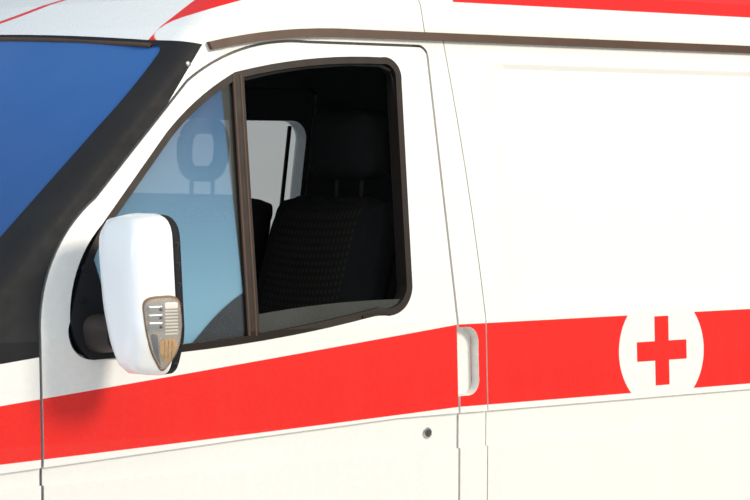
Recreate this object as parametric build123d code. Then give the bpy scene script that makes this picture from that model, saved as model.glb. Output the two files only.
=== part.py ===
from build123d import *
from functools import lru_cache
import math
import os

# A light commercial van body fitted out as an ambulance.
# Millimetres. +X forward, +Y to the vehicle's left, +Z up.
# The origin is on the ground below the middle of the vehicle.

# Whole vehicle
WHEELBASE = 2900
FRONT_AXLE_X = 1725
REAR_AXLE_X = FRONT_AXLE_X - WHEELBASE
SILL_Z = 430
FLOOR_Z = 700
FLOOR_THICK = 45
WALL = 55
PANEL_GAP = 6
SEAT_GAP = 0.3

# Side shape, in plan: straight load sides, and a cab that draws in ahead of the centre pillar
PILLAR_X = 230
TAPER_END_X = 1262
TAPER_R = 18000
SCREEN_BULGE = 165
REAR_BULGE = 14

# Side shape, in height: height, half width, screen corner x, corner length, rear x, rear corner radius
BODY_LEVELS = [
    (430, 985, 1490, 55, -2680, 70),
    (600, 1012, 1490, 55, -2690, 80),
    (1137, 1015, 1490, 55, -2690, 80),
    (1340, 1008, 1477, 55, -2690, 80),
    (1975, 892, 842, 60, -2662, 80),
    (2040, 876, 760, 90, -2652, 100),
    (2085, 850, 668, 110, -2634, 120),
    (2120, 813, 560, 130, -2605, 150),
    (2150, 758, 430, 160, -2555, 180),
    (2173, 680, 285, 190, -2480, 220),
    (2190, 570, 120, 220, -2370, 250),
    (2200, 410, -70, 230, -2210, 250),
]
RAIL_Z = 1975
ROOF_TOP_Z = 2200

# Side panels, doors and seams
FENDER_THICK = 38
TRIM_THICK = 12
FIREWALL_THICK = 45
SKIN_THICK = 15
DOOR_EDGE = 24
STOP_WIDTH = 17
STOP_DEPTH = 21
STOP_END_X = 1180
EDGE_STEP_END_X = 1221
DOOR_REAR_X = 230
DOOR_FRONT_X = 1262
DOOR_LOW_Z = 500
DOOR_TOP_Z = 1948
BELT_Z = 1300
SEAM_GAP = 3
ARCH_R_FRONT = 430
ARCH_R_REAR = 405
LINER_THICK = 12
LINER_Y = 640
SLIDE_FRONT_X = 146
SLIDE_REAR_X = -765
REAR_DOOR_LOW_Z = 560
REAR_DOOR_TOP_Z = 1925
REAR_DOOR_LOW_HALF = 868
REAR_DOOR_TOP_HALF = 800
CENTRE_GAP = 10
HINGE_BACK = 18
HINGE_DEPTH = 12
HINGE_HEIGHTS = (640, 980)
PIN_R = 5
CREASE_DEPTH = 7
RECESS_DEPTH = 6
LIP_DEPTH = 12

# Running gear
WHEEL_R = 342
TYRE_WIDTH = 184
TYRE_INNER_R = 203
RIM_THICK = 9
RIM_WIDTH = 164
FRONT_TRACK = 1700
REAR_TRACK = 1560
TWIN_SPACING = 206
KINGPIN_Y = 762
HUB_BORE_R = 25
FRAME_Y = 400
RAIL_WIDTH = 60
FRAME_LOW_Z = 505
FRAME_TOP_Z = 640

# Nose: height, half width at the centre pillar, corner x, corner length
NOSE_LEVELS = [
    (400, 985, 2560, 190),
    (600, 1012, 2580, 190),
    (800, 1013, 2580, 190),
    (1137, 1015, 2535, 180),
    (1400, 1006, 2460, 170),
]
NOSE_BULGE = 95
NOSE_REAR_X = 0

# How far cutting shapes reach: past the vehicle, one side's depth, and the ends' depth
FAR = 4000
HIGH = 3000
LENGTHWAYS = (-FAR, FAR)
SIDEWAYS = (-FAR, FAR)
UPWARDS = (0, HIGH)
FULL_WIDTH = (-1300, 1300)
LEFT_DEPTH = (500, 1300)
LEFT_HALF = (0, 1300)
RIGHT_DEPTH = (-1300, -500)
REAR_DEPTH = (-3000, -2500)
SCREEN_DEPTH = (700, 1800)
NOSE_DEPTH = (2300, 2900)
LAMP_DEPTH = (2380, 2900)
ROOF_BAND = (1900, HIGH)

# Bonnet top line: x, height on the centre line
BONNET_LINE = [
    (1150, 1372),
    (1500, 1330),
    (1900, 1252),
    (2250, 1160),
    (2480, 1078),
    (2600, 1010),
    (2680, 925),
    (2740, 800),
]
BONNET_CROWN = 62
BONNET_THICK = 28
BONNET_HINGE_X = 1650
BONNET_HINGE_Y = 690
BONNET_HINGE_Z = 1267
BUMPER_TOP = 690
BONNET_HALF_SPAN = 1100


def taper(x, start_x=PILLAR_X, end_x=TAPER_END_X):
    """How far the side has drawn in at x: an arc from start_x to end_x, then straight on."""
    run = min(max(x, start_x), end_x) - start_x
    rise = math.sqrt(TAPER_R**2 - run**2)
    return TAPER_R - rise + max(x - end_x, 0) * run / rise


def plan_wire(z, half_width, corner_x, corner_length, bulge, rear_x, rear_r, inset):
    """A closed plan outline of the body at one height, drawn in by inset."""
    half_width -= inset
    corner_x -= inset
    rear_x += inset
    corner_length = max(corner_length - 0.8 * inset, 14)
    rear_r = max(rear_r - inset, 16)
    curve_end = min(TAPER_END_X, corner_x - corner_length - 120)
    curve_start = min(PILLAR_X, curve_end - 250)
    slope = math.asin((curve_end - curve_start) / TAPER_R)

    def side_y(x):
        return half_width - taper(x, curve_start, curve_end)

    side_end = (corner_x - corner_length, side_y(corner_x - corner_length), z)
    front_y = side_end[1] - 0.7 * corner_length
    for _ in range(5):
        turn = math.pi / 2 - 2 * math.atan(bulge / front_y) - slope
        front_y = side_end[1] - corner_length * math.tan(slope + turn / 2)
    front_end = (corner_x, front_y, z)
    start = (rear_x + rear_r, half_width, z)
    pillar = (curve_start, half_width, z)
    bend = (curve_end, side_y(curve_end), z)
    middle_x = (curve_start + curve_end) / 2
    bend_middle = (middle_x, side_y(middle_x), z)
    tangent = (math.cos(slope), -math.sin(slope), 0)
    corner = Edge.make_tangent_arc(side_end, tangent, front_end)
    corner_middle = tuple(corner @ 0.5)
    diagonal = rear_r * (1 - math.sqrt(0.5))
    rear_middle = (rear_x + diagonal, half_width - diagonal, z)
    rear_end = (rear_x, half_width - rear_r, z)

    def other(p):
        return (p[0], -p[1], p[2])

    edges = [
        Edge.make_line(start, pillar),
        Edge.make_three_point_arc(pillar, bend_middle, bend),
        Edge.make_line(bend, side_end),
        Edge.make_three_point_arc(side_end, corner_middle, front_end),
        Edge.make_three_point_arc(front_end, (corner_x + bulge, 0, z), other(front_end)),
        Edge.make_three_point_arc(other(front_end), other(corner_middle), other(side_end)),
        Edge.make_line(other(side_end), other(bend)),
        Edge.make_three_point_arc(other(bend), other(bend_middle), other(pillar)),
        Edge.make_line(other(pillar), other(start)),
        Edge.make_three_point_arc(other(start), other(rear_middle), other(rear_end)),
        Edge.make_three_point_arc(other(rear_end), (rear_x - REAR_BULGE, 0, z), rear_end),
        Edge.make_three_point_arc(rear_end, rear_middle, start),
    ]
    return Wire(edges)


@lru_cache
def body_solid(inset, low_z=SILL_Z):
    """The whole cab and load volume, drawn in by inset, from low_z to the roof."""
    wires = []
    for z, half_width, corner_x, corner_length, rear_x, rear_r in BODY_LEVELS:
        share = max(z - RAIL_Z, 0) / (ROOF_TOP_Z - RAIL_Z)
        height = low_z if z == BODY_LEVELS[0][0] else z - inset * share
        wires.append(
            plan_wire(height, half_width, corner_x, corner_length, SCREEN_BULGE, rear_x, rear_r, inset)
        )
    return Solid.make_loft(wires, ruled=True)


@lru_cache
def nose_solid(inset):
    """The front end's plan volume, from below the bumper to above the bonnet."""
    wires = [
        plan_wire(z, half_width, corner_x, corner_length, NOSE_BULGE, NOSE_REAR_X, 30, inset)
        for z, half_width, corner_x, corner_length in NOSE_LEVELS
    ]
    return Solid.make_loft(wires, ruled=True)


@lru_cache
def bonnet_solid(inset):
    """Everything below the bonnet's crowned top surface, lowered by inset."""
    wires = []
    for x, top_z in BONNET_LINE:
        top = top_z - inset
        shoulder = top - BONNET_CROWN
        low = 200
        wires.append(
            Wire(
                [
                    Edge.make_line((x, -BONNET_HALF_SPAN, low), (x, -BONNET_HALF_SPAN, shoulder)),
                    Edge.make_three_point_arc(
                        (x, -BONNET_HALF_SPAN, shoulder), (x, 0, top), (x, BONNET_HALF_SPAN, shoulder)
                    ),
                    Edge.make_line((x, BONNET_HALF_SPAN, shoulder), (x, BONNET_HALF_SPAN, low)),
                    Edge.make_line((x, BONNET_HALF_SPAN, low), (x, -BONNET_HALF_SPAN, low)),
                ]
            )
        )
    return Solid.make_loft(wires, ruled=True)


def outline(start, *moves):
    """A closed flat outline: each move is an end point, or a (via, end) pair for an arc."""
    edges = []
    here = start
    for move in moves:
        if isinstance(move[0], tuple):
            edges.append(ThreePointArc(here, move[0], move[1]))
            here = move[1]
        else:
            edges.append(Line(here, move))
            here = move
    if math.dist(here, start) > 0.01:
        edges.append(Line(here, start))
    return make_face(edges)


def rounded(low, high, r):
    """A rectangle between two corners, with rounded corners."""
    width = high[0] - low[0]
    height = high[1] - low[1]
    middle = ((high[0] + low[0]) / 2, (high[1] + low[1]) / 2)
    return Pos(middle[0], middle[1]) * RectangleRounded(width, height, r)


def across(face, low_y, high_y):
    """A side-view face (x, z) made into a prism between two y values."""
    plane = Plane(origin=(0, high_y, 0), x_dir=(1, 0, 0), z_dir=(0, -1, 0))
    return extrude(plane * face, amount=high_y - low_y)


def along(face, low_x, high_x):
    """A front-view face (y, z) made into a prism between two x values."""
    plane = Plane(origin=(low_x, 0, 0), x_dir=(0, 1, 0), z_dir=(1, 0, 0))
    return extrude(plane * face, amount=high_x - low_x)


def upright(face, low_z, high_z):
    """A plan-view face (x, y) made into a prism between two z values."""
    return extrude(Pos(0, 0, low_z) * face, amount=high_z - low_z)


def block(x, y, z):
    """A box from (low, high) pairs."""
    return Pos((x[0] + x[1]) / 2, (y[0] + y[1]) / 2, (z[0] + z[1]) / 2) * Box(
        x[1] - x[0], y[1] - y[0], z[1] - z[0]
    )


def rod(start, end, r):
    """A round bar between two points."""
    direction = Vector(*end) - Vector(*start)
    return extrude(Plane(origin=start, z_dir=direction) * Circle(r), amount=direction.length)


def flipped(shape):
    """The same piece on the vehicle's other side."""
    return mirror(shape, about=Plane.XZ)


def both(shape):
    """A piece and its twin on the other side, as one node."""
    return Compound(children=solids_of(shape) + solids_of(flipped(shape)))


def solids_of(*shapes):
    """Every solid of some shapes, as a list."""
    return [solid for shape in shapes for solid in shape.solids()]


# The volumes that every panel is cut from
OUTER = body_solid(0)
LINED = body_solid(WALL, SILL_Z - 60)
BODY_SHELL = OUTER - LINED
NOSE = nose_solid(0)
NOSE_LINED = nose_solid(FENDER_THICK + 2)
BONNET_VOLUME = bonnet_solid(0)
FRONT = NOSE & BONNET_VOLUME
FRONT_SHELL = FRONT - (NOSE_LINED & bonnet_solid(FENDER_THICK + 2))
parts = {}

# Side-view outlines
door_face = outline(
    (DOOR_REAR_X + 40, DOOR_LOW_Z),
    (DOOR_FRONT_X - 40, DOOR_LOW_Z),
    ((DOOR_FRONT_X - 12, DOOR_LOW_Z + 12), (DOOR_FRONT_X, DOOR_LOW_Z + 40)),
    (DOOR_FRONT_X, 1330),
    ((1228, 1478), (1110, 1618)),
    (868, 1858),
    ((735, 1925), (560, DOOR_TOP_Z)),
    (DOOR_REAR_X + 25, DOOR_TOP_Z),
    ((DOOR_REAR_X + 7, DOOR_TOP_Z - 7), (DOOR_REAR_X, DOOR_TOP_Z - 25)),
    (DOOR_REAR_X, DOOR_LOW_Z + 40),
    ((DOOR_REAR_X + 12, DOOR_LOW_Z + 12), (DOOR_REAR_X + 40, DOOR_LOW_Z)),
)
window_face = outline(
    (345, 1420),
    (311, 1870),
    ((322, 1908), (360, 1920)),
    ((560, 1911), (748, 1879)),
    ((840, 1825), (930, 1750)),
    (1100, 1565),
    ((1165, 1478), (1193, 1375)),
    ((1188, 1318), (1150, 1299)),
    ((900, 1307), (440, 1362)),
    ((370, 1376), (345, 1420)),
)
bar_face = outline((722, 1960), (748, 1960), (790, 1250), (760, 1250))
below_rail = outline(
    (-2900, 300),
    (2200, 300),
    (2200, 2335),
    (893, 1946),
    (800, 1932),
    ((620, 1961), (430, 1969)),
    (-2900, 1969),
)
rear_opening = outline(
    (-REAR_DOOR_LOW_HALF + 50, REAR_DOOR_LOW_Z),
    (REAR_DOOR_LOW_HALF - 50, REAR_DOOR_LOW_Z),
    (
        (REAR_DOOR_LOW_HALF - 15, REAR_DOOR_LOW_Z + 15),
        (REAR_DOOR_LOW_HALF, REAR_DOOR_LOW_Z + 50),
    ),
    (REAR_DOOR_LOW_HALF, 1340),
    (REAR_DOOR_TOP_HALF, REAR_DOOR_TOP_Z - 60),
    ((REAR_DOOR_TOP_HALF - 20, REAR_DOOR_TOP_Z - 14), (REAR_DOOR_TOP_HALF - 70, REAR_DOOR_TOP_Z)),
    (-REAR_DOOR_TOP_HALF + 70, REAR_DOOR_TOP_Z),
    ((-REAR_DOOR_TOP_HALF + 20, REAR_DOOR_TOP_Z - 14), (-REAR_DOOR_TOP_HALF, REAR_DOOR_TOP_Z - 60)),
    (-REAR_DOOR_LOW_HALF, 1340),
    (-REAR_DOOR_LOW_HALF, REAR_DOOR_LOW_Z + 50),
    (
        (-REAR_DOOR_LOW_HALF + 15, REAR_DOOR_LOW_Z + 15),
        (-REAR_DOOR_LOW_HALF + 50, REAR_DOOR_LOW_Z),
    ),
)
screen_face = outline(
    (-820, 1322),
    (820, 1322),
    ((858, 1337), (872, 1375)),
    (861, 1760),
    ((857, 1850), (846, 1912)),
    ((836, 1928), (818, 1932)),
    ((0, 1968), (-818, 1932)),
    ((-836, 1928), (-846, 1912)),
    ((-857, 1850), (-861, 1760)),
    (-872, 1375),
    ((-858, 1337), (-820, 1322)),
)
slide_face = rounded((SLIDE_REAR_X, 500), (SLIDE_FRONT_X, 1930), 45)
slide_window_face = rounded((-725, 1395), (-5, 1815), 60)

# Cut volumes
below_rail_space = across(below_rail, *FULL_WIDTH)
stop_layer = body_solid(STOP_DEPTH) - LINED


def door_gap(face, cut, depth, stop_zone=None):
    """A door's opening with a stop flange left inside it, cut over a depth."""
    opening = cut(offset(face, PANEL_GAP / 2), *depth)
    flange = stop_layer & (opening - cut(offset(face, -STOP_WIDTH), *depth))
    return opening - (flange & stop_zone if stop_zone else flange)


def door_step(face, cut, depth):
    """What a door leaves free behind its outer skin, for the stop flange."""
    rim = cut(offset(face, DOOR_EDGE), *depth) - cut(offset(face, -DOOR_EDGE), *depth)
    return body_solid(SKIN_THICK) & rim


door_hole = door_gap(door_face, across, LEFT_DEPTH, block((0, STOP_END_X), LEFT_HALF, UPWARDS))
front_arch = across(Pos(FRONT_AXLE_X, WHEEL_R) * Circle(ARCH_R_FRONT), *FULL_WIDTH)
well_r = ARCH_R_FRONT + LINER_THICK + SEAT_GAP
front_well = across(Pos(FRONT_AXLE_X, WHEEL_R) * Circle(well_r), LINER_Y, LEFT_DEPTH[1])
rear_arch = across(Pos(REAR_AXLE_X, WHEEL_R) * Circle(ARCH_R_REAR), *FULL_WIDTH)
screen_hole = along(offset(screen_face, SEAT_GAP), *SCREEN_DEPTH)
rear_hole = door_gap(rear_opening, along, REAR_DEPTH)
crease_face = outline(
    (-2600, 1062),
    (-2600, 1137),
    (396, 1137),
    (778, 1120),
    (1261, 1093),
    (1780, 1064),
    (1780, 1058),
    (1262, 1058),
)
body_crease = (OUTER - body_solid(CREASE_DEPTH)) & across(crease_face, *FULL_WIDTH)
nose_crease = (NOSE - nose_solid(CREASE_DEPTH)) & across(crease_face, *FULL_WIDTH)


def side_recess(low_x, high_x, low_z=1355, high_z=1915, border=40, top_border=12):
    """A shallow pressed panel in the load side's upper part, with sloped borders."""
    lower = (1340, 1008)
    upper = (1975, 892)
    lean = math.atan2(lower[1] - upper[1], upper[0] - lower[0])
    middle_z = (low_z + high_z) / 2
    side_y = lower[1] - (middle_z - lower[0]) * math.tan(lean)
    plane = Plane(
        origin=((low_x + high_x) / 2, side_y, middle_z),
        x_dir=(-1, 0, 0),
        z_dir=(0, math.cos(lean), math.sin(lean)),
    )
    width = high_x - low_x
    height = (high_z - low_z) / math.cos(lean)
    bottom = Pos(0, (border - top_border) / 2) * RectangleRounded(
        width - 2 * border, height - border - top_border, 34
    )
    rim = plane.offset(0.5) * RectangleRounded(width, height, 60)
    return loft([rim, plane.offset(-RECESS_DEPTH) * bottom])


# Roof: two pressings that meet above the centre pillar
roof_shell = (BODY_SHELL & block(LENGTHWAYS, SIDEWAYS, ROOF_BAND)) - below_rail_space
parts["roof_cab"] = roof_shell & block(
    (DOOR_REAR_X + SEAM_GAP / 2, FAR), SIDEWAYS, ROOF_BAND
)
parts["roof_load"] = roof_shell & block(
    (-FAR, DOOR_REAR_X - SEAM_GAP / 2), SIDEWAYS, ROOF_BAND
)
roof_lip = (roof_shell & body_solid(LIP_DEPTH)) & block(
    (DOOR_REAR_X - 20, DOOR_REAR_X + SEAM_GAP / 2 - SEAT_GAP), SIDEWAYS, ROOF_BAND
)
parts["roof_load"] = parts["roof_load"] + roof_lip

# Load sides, with the arches, the pressed panels and the sliding door's opening
sides = (BODY_SHELL & below_rail_space) - body_crease
pillar_rear = outline(
    (-FAR, 300),
    (147, 300),
    (147, 1340),
    ((155, 1650), (177, 1946)),
    (178, 2100),
    (-FAR, 2100),
)
portal = block((-FAR, -2600), (-REAR_DOOR_TOP_HALF + 30, REAR_DOOR_TOP_HALF - 30), UPWARDS)
load_side = (sides & across(pillar_rear, *LEFT_HALF)) - rear_arch - rear_hole - portal
side_lip = (sides & body_solid(LIP_DEPTH)) & across(Pos(SEAM_GAP - SEAT_GAP, 0) * pillar_rear, *LEFT_HALF)
side_lip = side_lip & block((DOOR_REAR_X - 100, FAR), LEFT_HALF, UPWARDS)
parts["load_side_left"] = (load_side + side_lip) - side_recess(-1150, 75) - side_recess(-2500, -1300)
slide_slot = (OUTER - body_solid(16)) & across(rounded((-1900, 1196), (-700, 1232), 8), *LEFT_DEPTH)
load_right = flipped(load_side - side_recess(-2500, -1300) - slide_slot)
parts["load_side_right"] = load_right - door_gap(slide_face, across, RIGHT_DEPTH)
rear_portal = (sides & portal) - rear_hole
parts["roof_load"] = parts["roof_load"] + (rear_portal & block((-FAR, 0), SIDEWAYS, (1700, HIGH)))
rear_sill = rear_portal & block((-FAR, 0), SIDEWAYS, (0, 700))

# Door frames: the centre pillar and the sill in one, each with its stop flange
pillar_front = outline(
    (150, SILL_Z),
    (262, SILL_Z),
    (262, 2000),
    (180, 2000),
    (180, 1946),
    ((158, 1650), (150, 1340)),
)
pillar_strip = sides & across(pillar_front, *LEFT_DEPTH)
finger_recess = (
    across(
        outline(
            (240, 1174),
            (200, 1174),
            ((180, 1186), (172, 1215)),
            (172, 1285),
            ((182, 1316), (205, 1326)),
            (240, 1326),
        ),
        500,
        1300,
    )
    - body_solid(26)
)
sill = (OUTER - body_solid(120, SILL_Z - 60)) & block(
    (DOOR_REAR_X - PANEL_GAP, DOOR_FRONT_X), (300, 1300), (SILL_Z, DOOR_LOW_Z + STOP_WIDTH)
)
sill = sill - (
    body_solid(WALL, SILL_Z - 60) & block((0, FAR), (0, FAR), (DOOR_LOW_Z - PANEL_GAP / 2, 600))
)
parts["door_frames"] = both((pillar_strip + sill) - door_hole - finger_recess)

# Cab front: firewall with the hinge pillars, and the screen's frame above it
cab_space = block((DOOR_REAR_X + 32, FAR), SIDEWAYS, (BELT_Z, HIGH))
trim_layer = OUTER - body_solid(TRIM_THICK)
pillar_face = outline((780, 1990), (2000, 1990), (2000, BELT_Z), (DOOR_FRONT_X, BELT_Z), (1200, 1450))
pillar_zone = across(pillar_face, *FULL_WIDTH)
screen_frame = (sides & cab_space) - door_hole - flipped(door_hole) - screen_hole
parts["screen_trim"] = (screen_frame & trim_layer & pillar_zone) - FRONT
firewall_layer = body_solid(FENDER_THICK) - body_solid(FENDER_THICK + FIREWALL_THICK, SILL_Z - 60)
firewall = firewall_layer & block((DOOR_FRONT_X + PANEL_GAP / 2, FAR), SIDEWAYS, (FLOOR_Z, BELT_Z))
hinge_pillar = firewall_layer & block((DOOR_FRONT_X + PANEL_GAP / 2, FAR), (850, FAR), (SILL_Z, BELT_Z))
HINGE_X = DOOR_FRONT_X - PANEL_GAP / 2 - HINGE_BACK
HINGE_Y = 1015 - taper(HINGE_X) - HINGE_DEPTH
lugs = []
for z in HINGE_HEIGHTS:
    lugs.append(rod((HINGE_X, HINGE_Y, z - 30), (HINGE_X, HINGE_Y, z + 30), PIN_R))
    lugs.append(block((HINGE_X - 5, HINGE_X + 5), (HINGE_Y - 50, HINGE_Y + 3), (z - 12, z + 12)))
    lugs.append(block((HINGE_X - 5, HINGE_X + 32), (HINGE_Y - 50, HINGE_Y - 36), (z - 12, z + 12)))
hinge_pillar = (hinge_pillar - front_well) + lugs
frame_top = screen_frame - (trim_layer & pillar_zone) - (FRONT - body_solid(FENDER_THICK))
cab_frame = (firewall - front_well - flipped(front_well)) + hinge_pillar + flipped(hinge_pillar) + frame_top
parts["cab_frame"] = cab_frame
parts["windscreen"] = (body_solid(4) - body_solid(10)) & along(screen_face, *SCREEN_DEPTH)

# Front end: wings, bonnet, cowl, nose panel and bumper
bonnet_plan = outline(
    (1655, -760),
    ((1800, 0), (1655, 760)),
    (2400, 715),
    ((2520, 700), (2560, 600)),
    ((2615, 0), (2560, -600)),
    ((2520, -700), (2400, -715)),
)
bonnet_cut = upright(offset(bonnet_plan, PANEL_GAP / 2), 900, 1500)
bonnet = (FRONT - bonnet_solid(BONNET_THICK)) & upright(offset(bonnet_plan, -PANEL_GAP / 2), 900, 1500)
bonnet_slots = []
bonnet_pins = []
for y in (-BONNET_HINGE_Y, BONNET_HINGE_Y):
    x, z = BONNET_HINGE_X, BONNET_HINGE_Z
    bonnet += block((x - 9, x + 60), (y - 8, y + 8), (z - 9, z + 6))
    bonnet -= rod((x, y - 20, z), (x, y + 20, z), PIN_R + SEAT_GAP)
    bonnet_slots.append(block((x - 18, x + 80), (y - 14, y + 14), (z - 60, z + 60)))
    bonnet_pins.append(rod((x, y - 18, z), (x, y + 18, z), PIN_R))
parts["bonnet"] = bonnet
cowl_plan = outline(
    (DOOR_FRONT_X, -1100),
    (DOOR_FRONT_X, 1100),
    (1640, 1100),
    (1655, 780),
    (1830, 600),
    (1830, -600),
    (1655, -780),
    (1640, -1100),
)
cowl_zone = upright(cowl_plan, 1200, 1500)
bumper_zone = block((2150, FAR), SIDEWAYS, (0, BUMPER_TOP))
nose_face_zone = block((2330, FAR), SIDEWAYS, (BUMPER_TOP, HIGH))
wing = (
    (FRONT_SHELL & block((DOOR_FRONT_X + PANEL_GAP / 2, FAR), SIDEWAYS, (SILL_Z, HIGH)))
    - body_solid(FENDER_THICK)
    - bonnet_cut
    - front_arch
    - bumper_zone
    - nose_face_zone
    - nose_crease
)
cowl = FRONT & cowl_zone & block((DOOR_FRONT_X, FAR), (-880, 880), UPWARDS)
cowl = cowl - bonnet_solid(BONNET_THICK) - bonnet_cut - body_solid(FENDER_THICK) - (NOSE - nose_solid(150))
cowl = cowl - cab_frame - parts["screen_trim"] - parts["windscreen"] - bonnet_slots
parts["cowl"] = cowl + bonnet_pins
wing = wing - (cowl_zone & block((DOOR_FRONT_X, FAR), (-820, 820), UPWARDS)) - cowl
liner_face = Circle(ARCH_R_FRONT + LINER_THICK) - Circle(ARCH_R_FRONT)
liner = across(Pos(FRONT_AXLE_X, WHEEL_R) * liner_face, LINER_Y, 975)
liner = liner & block((0, FAR), LEFT_HALF, (480, HIGH))
liner = (liner & nose_solid(FENDER_THICK)) - body_solid(FENDER_THICK)
wing_left = (wing & block((0, FAR), LEFT_HALF, UPWARDS)) + liner
parts["front_wings"] = both(wing_left)
nose_panel = (FRONT_SHELL & nose_face_zone) - bonnet_cut
lamp_face = outline(
    (560, 800),
    (560, 905),
    ((700, 965), (905, 985)),
    (1000, 985),
    (1000, 875),
    ((860, 800), (760, 790)),
    (600, 785),
)
lamp_cut = along(offset(lamp_face, SEAT_GAP), *LAMP_DEPTH)
grille_face = rounded((-500, 745), (500, 940), 40)
parts["nose_panel"] = nose_panel - lamp_cut - flipped(lamp_cut) - along(grille_face, *NOSE_DEPTH)
lamp = (FRONT & along(lamp_face, *LAMP_DEPTH)) - nose_solid(60)
parts["headlamps"] = both(lamp)
grille_frame = offset(grille_face, -SEAT_GAP) - offset(grille_face, -16)
slats = Sketch() + [rounded((-520, z), (520, z + 14), 5) for z in range(772, 915, 30)]
uprights = Sketch() + [rounded((y - 5, 740), (y + 5, 945), 3) for y in (-320, -160, 0, 160, 320)]
grille_bars = (slats + uprights) & offset(grille_face, -10)
parts["grille"] = (nose_solid(6) - nose_solid(30)) & along(grille_frame + grille_bars, *NOSE_DEPTH)
bumper = (nose_solid(-65) - nose_solid(20)) & block((2150, FAR), SIDEWAYS, (405, BUMPER_TOP))
bumper = bumper - along(rounded((-520, 470), (520, 590), 30), *NOSE_DEPTH)
bumper = bumper - front_arch
parts["front_bumper"] = bumper

# Doors
door_prism = across(offset(door_face, -PANEL_GAP / 2), *LEFT_DEPTH)
door_edge_cut = door_step(door_face, across, LEFT_DEPTH) & block((0, EDGE_STEP_END_X), LEFT_HALF, UPWARDS)
door = (BODY_SHELL & door_prism) - door_edge_cut - across(window_face, *LEFT_DEPTH) - body_crease
for z in HINGE_HEIGHTS:
    door -= rod((HINGE_X, HINGE_Y, z - 31), (HINGE_X, HINGE_Y, z + 31), PIN_R + SEAT_GAP)
    door -= block((HINGE_X - 12, HINGE_X + 40), (HINGE_Y - 80, HINGE_Y + 6.5), (z - 18, z + 18))
parts["door_left"] = door
parts["door_right"] = flipped(door)

# Door mirrors' base plates fill the window's front corner, with an arm outwards
base_face = outline(
    (1096, 1570), ((1165, 1478), (1193, 1375)), ((1188, 1318), (1150, 1299)), (1010, 1303), (1062, 1420)
)
arm = extrude(
    Plane(origin=(1128, 962, 1350), x_dir=(1, 0, 0), z_dir=(0, 1, 0)) * RectangleRounded(70, 46, 18),
    amount=100,
)
mirror_base = (((body_solid(-6) - body_solid(14)) & across(base_face, *LEFT_DEPTH)) + arm) - door
base_space = across(offset(base_face, SEAT_GAP), *LEFT_DEPTH)

# Door glass and its seal frame with the dividing bar
seal_ring = (window_face - offset(window_face, -15)) + (bar_face & window_face)
parts["door_seal_left"] = ((body_solid(1) - body_solid(26)) & across(seal_ring, *LEFT_DEPTH)) - base_space
parts["door_seal_right"] = flipped(parts["door_seal_left"])
glass_zone = offset(window_face, -15 - SEAT_GAP) - offset(bar_face, SEAT_GAP)
glass_layer = body_solid(10) - body_solid(14)
glass_all = (glass_layer & across(glass_zone, *LEFT_DEPTH)) - base_space
lowered = outline((200, 1384), ((560, 1389), (775, 1370)), (720, 2000), (200, 2000))
parts["door_glass_left"] = glass_all - across(lowered, *LEFT_DEPTH)
parts["door_glass_right"] = flipped(glass_all)

MIRROR_LOW = (1075, 1040, 1278)
MIRROR_HIGH = (1170, 1205, 1590)
mirror_face = outline(
    (MIRROR_LOW[1] + 35, MIRROR_HIGH[2]),
    (MIRROR_HIGH[1] - 50, MIRROR_HIGH[2]),
    ((MIRROR_HIGH[1] - 14, MIRROR_HIGH[2] - 14), (MIRROR_HIGH[1], MIRROR_HIGH[2] - 55)),
    (MIRROR_HIGH[1], 1360),
    ((1190, 1300), (1140, MIRROR_LOW[2])),
    ((1092, 1290), (1062, 1340)),
    (MIRROR_LOW[1], 1430),
    (MIRROR_LOW[1], MIRROR_HIGH[2] - 40),
    ((MIRROR_LOW[1] + 10, MIRROR_HIGH[2] - 11), (MIRROR_LOW[1] + 35, MIRROR_HIGH[2])),
)
shell_blank = along(mirror_face, MIRROR_LOW[0], MIRROR_HIGH[0])
shell_blank = fillet(shell_blank.faces().sort_by(Axis.X)[-1].edges(), 32)
pocket = along(offset(mirror_face, -12), MIRROR_LOW[0] - 1, MIRROR_LOW[0] + 12)
parts["mirror_left"] = (shell_blank - pocket) - arm
parts["mirror_base_left"] = mirror_base - parts["mirror_left"]
for name in ("mirror_base", "mirror"):
    parts[name + "_right"] = flipped(parts[name + "_left"])

# Sliding door, closed
slide_prism = across(offset(slide_face, -PANEL_GAP / 2), *RIGHT_DEPTH)
slide_panel = (BODY_SHELL & slide_prism) - door_step(slide_face, across, RIGHT_DEPTH)
parts["sliding_door"] = slide_panel - across(slide_window_face, *RIGHT_DEPTH) - body_crease
parts["sliding_door_glass"] = (body_solid(8) - body_solid(13)) & across(
    offset(slide_window_face, -SEAT_GAP), -1300, -500
)

# Rear doors, each on three outside hinges
REAR_HINGE_X = -2706
REAR_HINGE_Y = REAR_DOOR_LOW_HALF + 14
REAR_HINGE_HEIGHTS = (640, 1200, 1780)
rear_prism = along(offset(rear_opening, -PANEL_GAP / 2), *REAR_DEPTH)
rear_half = block((-FAR, -2500), (CENTRE_GAP / 2, FAR), UPWARDS)
rear_edge_cut = door_step(rear_opening, along, REAR_DEPTH)
rear_window = outline(
    (150, 1400),
    (715, 1400),
    ((750, 1412), (762, 1450)),
    (722, 1760),
    ((706, 1791), (675, 1806)),
    (150, 1806),
    ((118, 1792), (105, 1760)),
    (105, 1445),
    ((118, 1412), (150, 1400)),
)
rear_door = (BODY_SHELL & rear_prism & rear_half) - rear_edge_cut - along(rear_window, *REAR_DEPTH)
door_straps = []
body_hinges = []
for z in REAR_HINGE_HEIGHTS:
    x, y = REAR_HINGE_X, REAR_HINGE_Y
    body_hinges.append(rod((x, y, z - 34), (x, y, z + 34), 6))
    body_hinges.append(block((x - 9, x + 50), (y - 6, y + 34), (z - 13, z + 13)))
    for low in (z - 34, z + 14):
        door_straps.append(rod((x, y, low), (x, y, low + 20), 11))
        door_straps.append(block((x - 6, x + 50), (y - 110, y), (low, low + 20)))
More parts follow.
